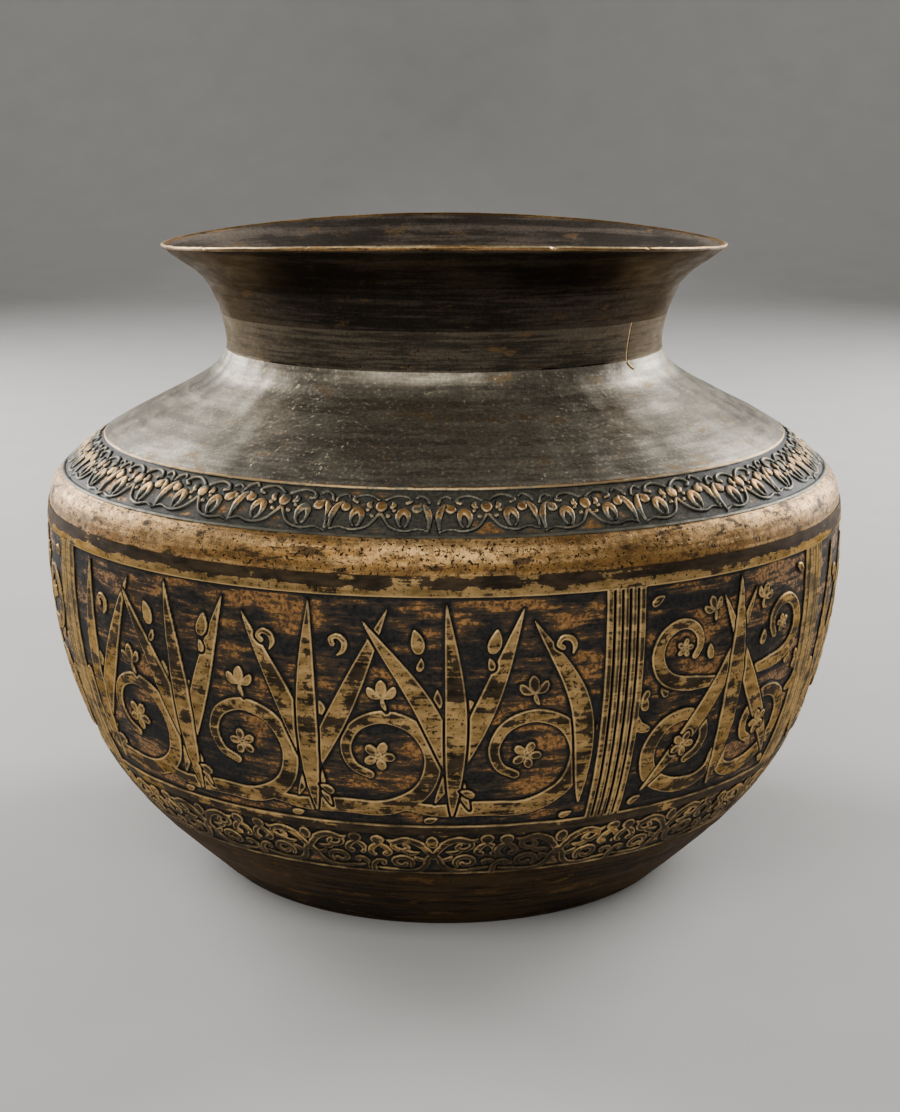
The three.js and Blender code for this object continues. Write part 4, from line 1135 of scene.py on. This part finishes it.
def braze_tail():
    """The end of the seam's braze, in a small hook: a rounded section along a line."""
    knots = path(0.0, 0.3 - 0.9j, 1.2 - 2.2j, 2.9 - 3.4j, spacing=0.2)
    wide = np.interp(share_along(knots), [0, 0.3, 0.8, 1], [0.5, 0.45, 0.4, 0.12])
    side = 1j * np.gradient(knots) / np.abs(np.gradient(knots))
    rows = []
    for across, lift in TAIL_SECTION:
        spot = knots + across * wide * side
        angle = SEAM_ANGLE + np.degrees(spot.real / WAIST[0])
        run = NECK_RING[0] - 0.1 + spot.imag
        rows.append(np.stack([on_pot([r], [a], [[lift]])[0, 0] for r, a in zip(run, angle)]))
    under = TAIL_UNDER * np.stack([rows[0], rows[-1]])
    tail = closed_piece("neck_braze_tail", np.stack(rows), under, False)
    dress(tail, "braze", [BRAZE, BRAZE], "neck_seam_braze")


braze_tail()

# %% [markdown]
# ## The mouth
# The flare is one thin sheet, dark outside and mottled inside. Its two faces have dents of their
# own, because a smith's hammer leaves its marks on the face that it strikes.

# %% Mouth flare
MOUTH_WALL, MOUTH_SUNK, MOUTH_DENT, MOUTH_INNER_DENT, MOUTH_DENT_SIZE = 1.5, 0.1, 0.05, 0.06, 30


def mouth():
    """The flared sheet, from the step above the neck ring to the mouth's edge."""
    low, high = NECK_RING[1], outline_run[-1]
    angle = round_angles(640)
    run, inner_run = between(low, high, 0.9), between(low, high, 1.5)
    outer = on_pot(run, angle, -MOUTH_SUNK + MOUTH_DENT * dents(run, angle, MOUTH_DENT_SIZE, seed=8))
    inner_dents = dents(inner_run, angle, MOUTH_DENT_SIZE, seed=9)
    inner = on_pot(inner_run, angle, -MOUTH_WALL + MOUTH_INNER_DENT * inner_dents)
    flare = closed_piece("mouth_flare_sheet", outer, inner, True, 6)
    dress(flare, "mouth_brass", [MOUTH_BRASS, INSIDE_BRASS], "mouth_flare")


mouth()

# %% [markdown]
# ## The lip
# A strip was brazed along the mouth's edge. Its top is worn pale, its sides are half worn, and
# below the fine line it is as dark as the mouth. Each corner of its section carries a ring of
# points, so one loop makes the strip, and each row of faces gets the finish of its place. Its
# two ends all but meet in a small notch, and small nicks lie in its top.

# %% Lip band
LIP_NOTCH_ANGLE, LIP_GAP = 19.7, 0.12  # half the open gap, in mm
LIP_HEIGHT, LIP_ROUND = 1.6, 0.5
LIP_NICKS = ((LIP_NOTCH_ANGLE, 0.6, 1.1), (-51.5, 0.45, 0.6), (-25.3, 0.3, 0.4), (-11.6, 0.4, 0.7),
             (3.4, -0.25, 0.8), (40.5, 0.45, 0.5), (-96.0, 0.4, 0.6), (118.0, 0.5, 0.8),
             (171.0, 0.35, 0.6))  # angle, depth and half width in mm; one is a burr and stands up
NICKS_FROM = 1.0  # mm above the mouth's edge; below it a nick doesn't reach
LIP_SECTION = [(0, 0), (0.35, 0.0), (0.45, -0.25), (0.6, -0.25), (0.7, 0.0), (LIP_HEIGHT - LIP_ROUND, 0.0),
               (LIP_HEIGHT - 0.15, -0.15), (LIP_HEIGHT, -LIP_ROUND), (LIP_HEIGHT, -MOUTH_WALL + LIP_ROUND),
               (LIP_HEIGHT - 0.15, 0.15 - MOUTH_WALL), (LIP_HEIGHT - LIP_ROUND, -MOUTH_WALL),
               (0, -MOUTH_WALL)]  # rise and lift of each corner, from the outside over the top
LIP_FINISHES = [LIP_BRASS, LIP_BRASS, LIP_SIDE_BRASS, MOUTH_BRASS]
LIP_ROWS = [3, 3, 3, 3, 2, 2, 2, 0, 0, 0, 2]  # the finish of each row of faces, in the same order


def lip():
    """A rounded strip along the mouth's edge, with a fine line under it, open at a small notch."""
    end = outline[-1]
    along, out = tangent[-1] / abs(tangent[-1]), normal[-1]
    gap = math.degrees(LIP_GAP / end.real)
    angle = between(LIP_NOTCH_ANGLE + gap, LIP_NOTCH_ANGLE + 360 - gap, 0.45)
    turn = np.radians(angle)
    wave = 0.05 * dents([0], angle, 12, seed=11)[0]
    nick = sum(depth * np.exp(-(np.radians(angle_between(angle, at)) * end.real / reach)**2)
               for at, depth, reach in LIP_NICKS)

    def ring(rise, lift):
        worn = nick * max(0.0, rise - NICKS_FROM) / (LIP_HEIGHT - NICKS_FROM)
        point = end + (rise - worn) * along + (lift + wave) * out
        return bend(point.real * np.sin(turn), -point.real * np.cos(turn), point.imag + 0 * turn)

    outer = np.stack([ring(rise, lift) for rise, lift in LIP_SECTION])
    inner = np.stack([ring(0.02, -0.02), ring(0.02, 0.02 - MOUTH_WALL)])
    band = closed_piece("lip_strip", outer, inner, False, 6)
    finish_of = np.zeros(len(band.data.polygons), np.int32)
    band.data.polygons.foreach_get("material_index", finish_of)
    by_row = np.repeat(LIP_ROWS, len(angle) - 1)
    finish_of[:len(by_row)] = by_row
    band.data.polygons.foreach_set("material_index", finish_of)
    dress(band, "lip_brass", LIP_FINISHES, "lip_band")


lip()

# %% [markdown]
# ## The base
# The bottom is a disc whose middle was pushed up, so that the pot stands on a flat ring. It is
# a turned section too, but it lies nearly level, so its radii and heights are given straight.

# %% Base
BASE_UNDER = [(0.5, 1.8), (20, 1.8), (40, 1.8), (63.5, 1.8), (77.5, 0), (83, 0), (89.0, 0), (89.5, 0.15),
              (92.0, 2.5)]  # radius and height, in mm
BASE_OVER = [(0.5, 4.3), (30, 4.3), (63.5, 4.3), (77.5, 2.5), (91.9, 2.5)]


def base():
    """The bottom: a flat standing ring with a raised middle, as a closed body."""
    turn = np.radians(round_angles(360))

    def ring(radius, height):
        return np.stack([radius * np.sin(turn), -radius * np.cos(turn), height + 0 * turn], axis=-1)

    under, over = (np.stack([ring(*corner) for corner in side]) for side in (BASE_UNDER, BASE_OVER))
    disc = closed_piece("base_plate", under, over, True, 4)
    dress(disc, "base_brass", [BASE_BRASS, INSIDE_BRASS], "base_disc")


base()

# %% [markdown]
# ## Floor, light and camera
# The pot stands on a plain pale floor that curves up behind it, so that no horizon shows. It is
# matte paper, which throws back an even light without a highlight. Two large soft lamps stand
# high at the sides and a little behind, so that the shoulder and the keel catch them, and a
# broad, weaker one fills the front. Small lamps would make small hard highlights, and the worn
# brass shows broad soft ones.

# %% Floor and backdrop
FLOOR_FRONT, FLOOR_BACK, FLOOR_TOP, FLOOR_CURVE, FLOOR_HALF = -3.0, 2.2, 3.0, 0.9, 4.0  # metres


def studio_floor():
    """A sheet of paper, level under the pot and curved up behind it."""
    finish, node, place, _, _ = new_finish("pale_studio_paper")
    tone = node("TexNoise", {"Vector": place, "Scale": 1 / 60, "Detail": 2.0})
    shade = node("ValToRGB", {"Fac": tone}, stops=[(0.2, "CFCDC9"), (0.8, "D6D4D0")])
    surface = node("BsdfPrincipled", {"Base Color": shade, "Roughness": 0.9})
    node("OutputMaterial", {"Surface": surface})
    arc = [(FLOOR_BACK + FLOOR_CURVE * math.sin(t), FLOOR_CURVE * (1 - math.cos(t)))
           for t in np.linspace(0, math.pi / 2, 24)]
    line = [(FLOOR_FRONT, 0.0)] + arc + [(FLOOR_BACK + FLOOR_CURVE, FLOOR_TOP)]
    points = [(x, y, z) for x in (-FLOOR_HALF, FLOOR_HALF) for y, z in line]
    count = len(line)
    mesh = bpy.data.meshes.new("studio_floor")
    mesh.from_pydata(points, [], [(i, i + count, i + count + 1, i + 1) for i in range(count - 1)])
    mesh.shade_smooth()
    floor = bpy.data.objects.new("studio_floor", mesh)
    bpy.context.scene.collection.objects.link(floor)
    floor.data.materials.append(finish)


studio_floor()


# %% Lamps
def soft_lamp(name, place, target, width, height, power):
    """A rectangle of light in metres and watts that faces its target."""
    lamp = bpy.data.lights.new(name, "AREA")
    lamp.shape = "RECTANGLE"
    lamp.size, lamp.size_y, lamp.energy = width, height, power
    holder = bpy.data.objects.new(name, lamp)
    bpy.context.scene.collection.objects.link(holder)
    holder.location = place
    holder.rotation_euler = (Vector(target) - Vector(place)).to_track_quat("-Z", "Y").to_euler()
    print(name, power, "W")


for side, label in ((-1, "left"), (1, "right")):
    soft_lamp(f"{label}_softbox", (side * 1.25, 0.95, 0.75), (0, 0, 0.14), width=0.9, height=1.2, power=34)
soft_lamp("front_fill", (-0.35, -1.3, 1.15), (0, 0, 0.1), width=1.9, height=1.1, power=17)

ROOM_GREY, ROOM_STRENGTH = 0.5, 0.35
world = bpy.data.worlds.new("dim_room")
world.use_nodes = True
world.node_tree.nodes["Background"].inputs["Color"].default_value = (ROOM_GREY, ROOM_GREY, ROOM_GREY, 1)
world.node_tree.nodes["Background"].inputs["Strength"].default_value = ROOM_STRENGTH
bpy.context.scene.world = world

# %% [markdown]
# The camera stands a little above the mouth and looks slightly down. Its place and lens were
# worked out from the pot's outline, so the picture can be laid over the render.

# %% Camera
CAMERA_DISTANCE, CAMERA_HEIGHT = 696.75, 279.3  # mm in front of the axis and above the floor
CAMERA_PITCH, CAMERA_YAW = 13.43, 0.175  # degrees down and to the right
PICTURE_LONG_SIDE, FOCAL_PIXELS = 1112, 1844.3
SENSOR = 36.0  # mm
camera_data = bpy.data.cameras.new("photograph_view")
camera_data.sensor_width = SENSOR
camera_data.sensor_fit = "AUTO"
camera_data.lens = SENSOR * FOCAL_PIXELS / PICTURE_LONG_SIDE
camera = bpy.data.objects.new("photograph_view", camera_data)
bpy.context.scene.collection.objects.link(camera)
camera.location = (0, -CAMERA_DISTANCE * MM, CAMERA_HEIGHT * MM)
camera.rotation_euler = (math.radians(90 - CAMERA_PITCH), 0, -math.radians(CAMERA_YAW))
bpy.context.scene.camera = camera
print("lens", round(camera_data.lens, 1), "mm")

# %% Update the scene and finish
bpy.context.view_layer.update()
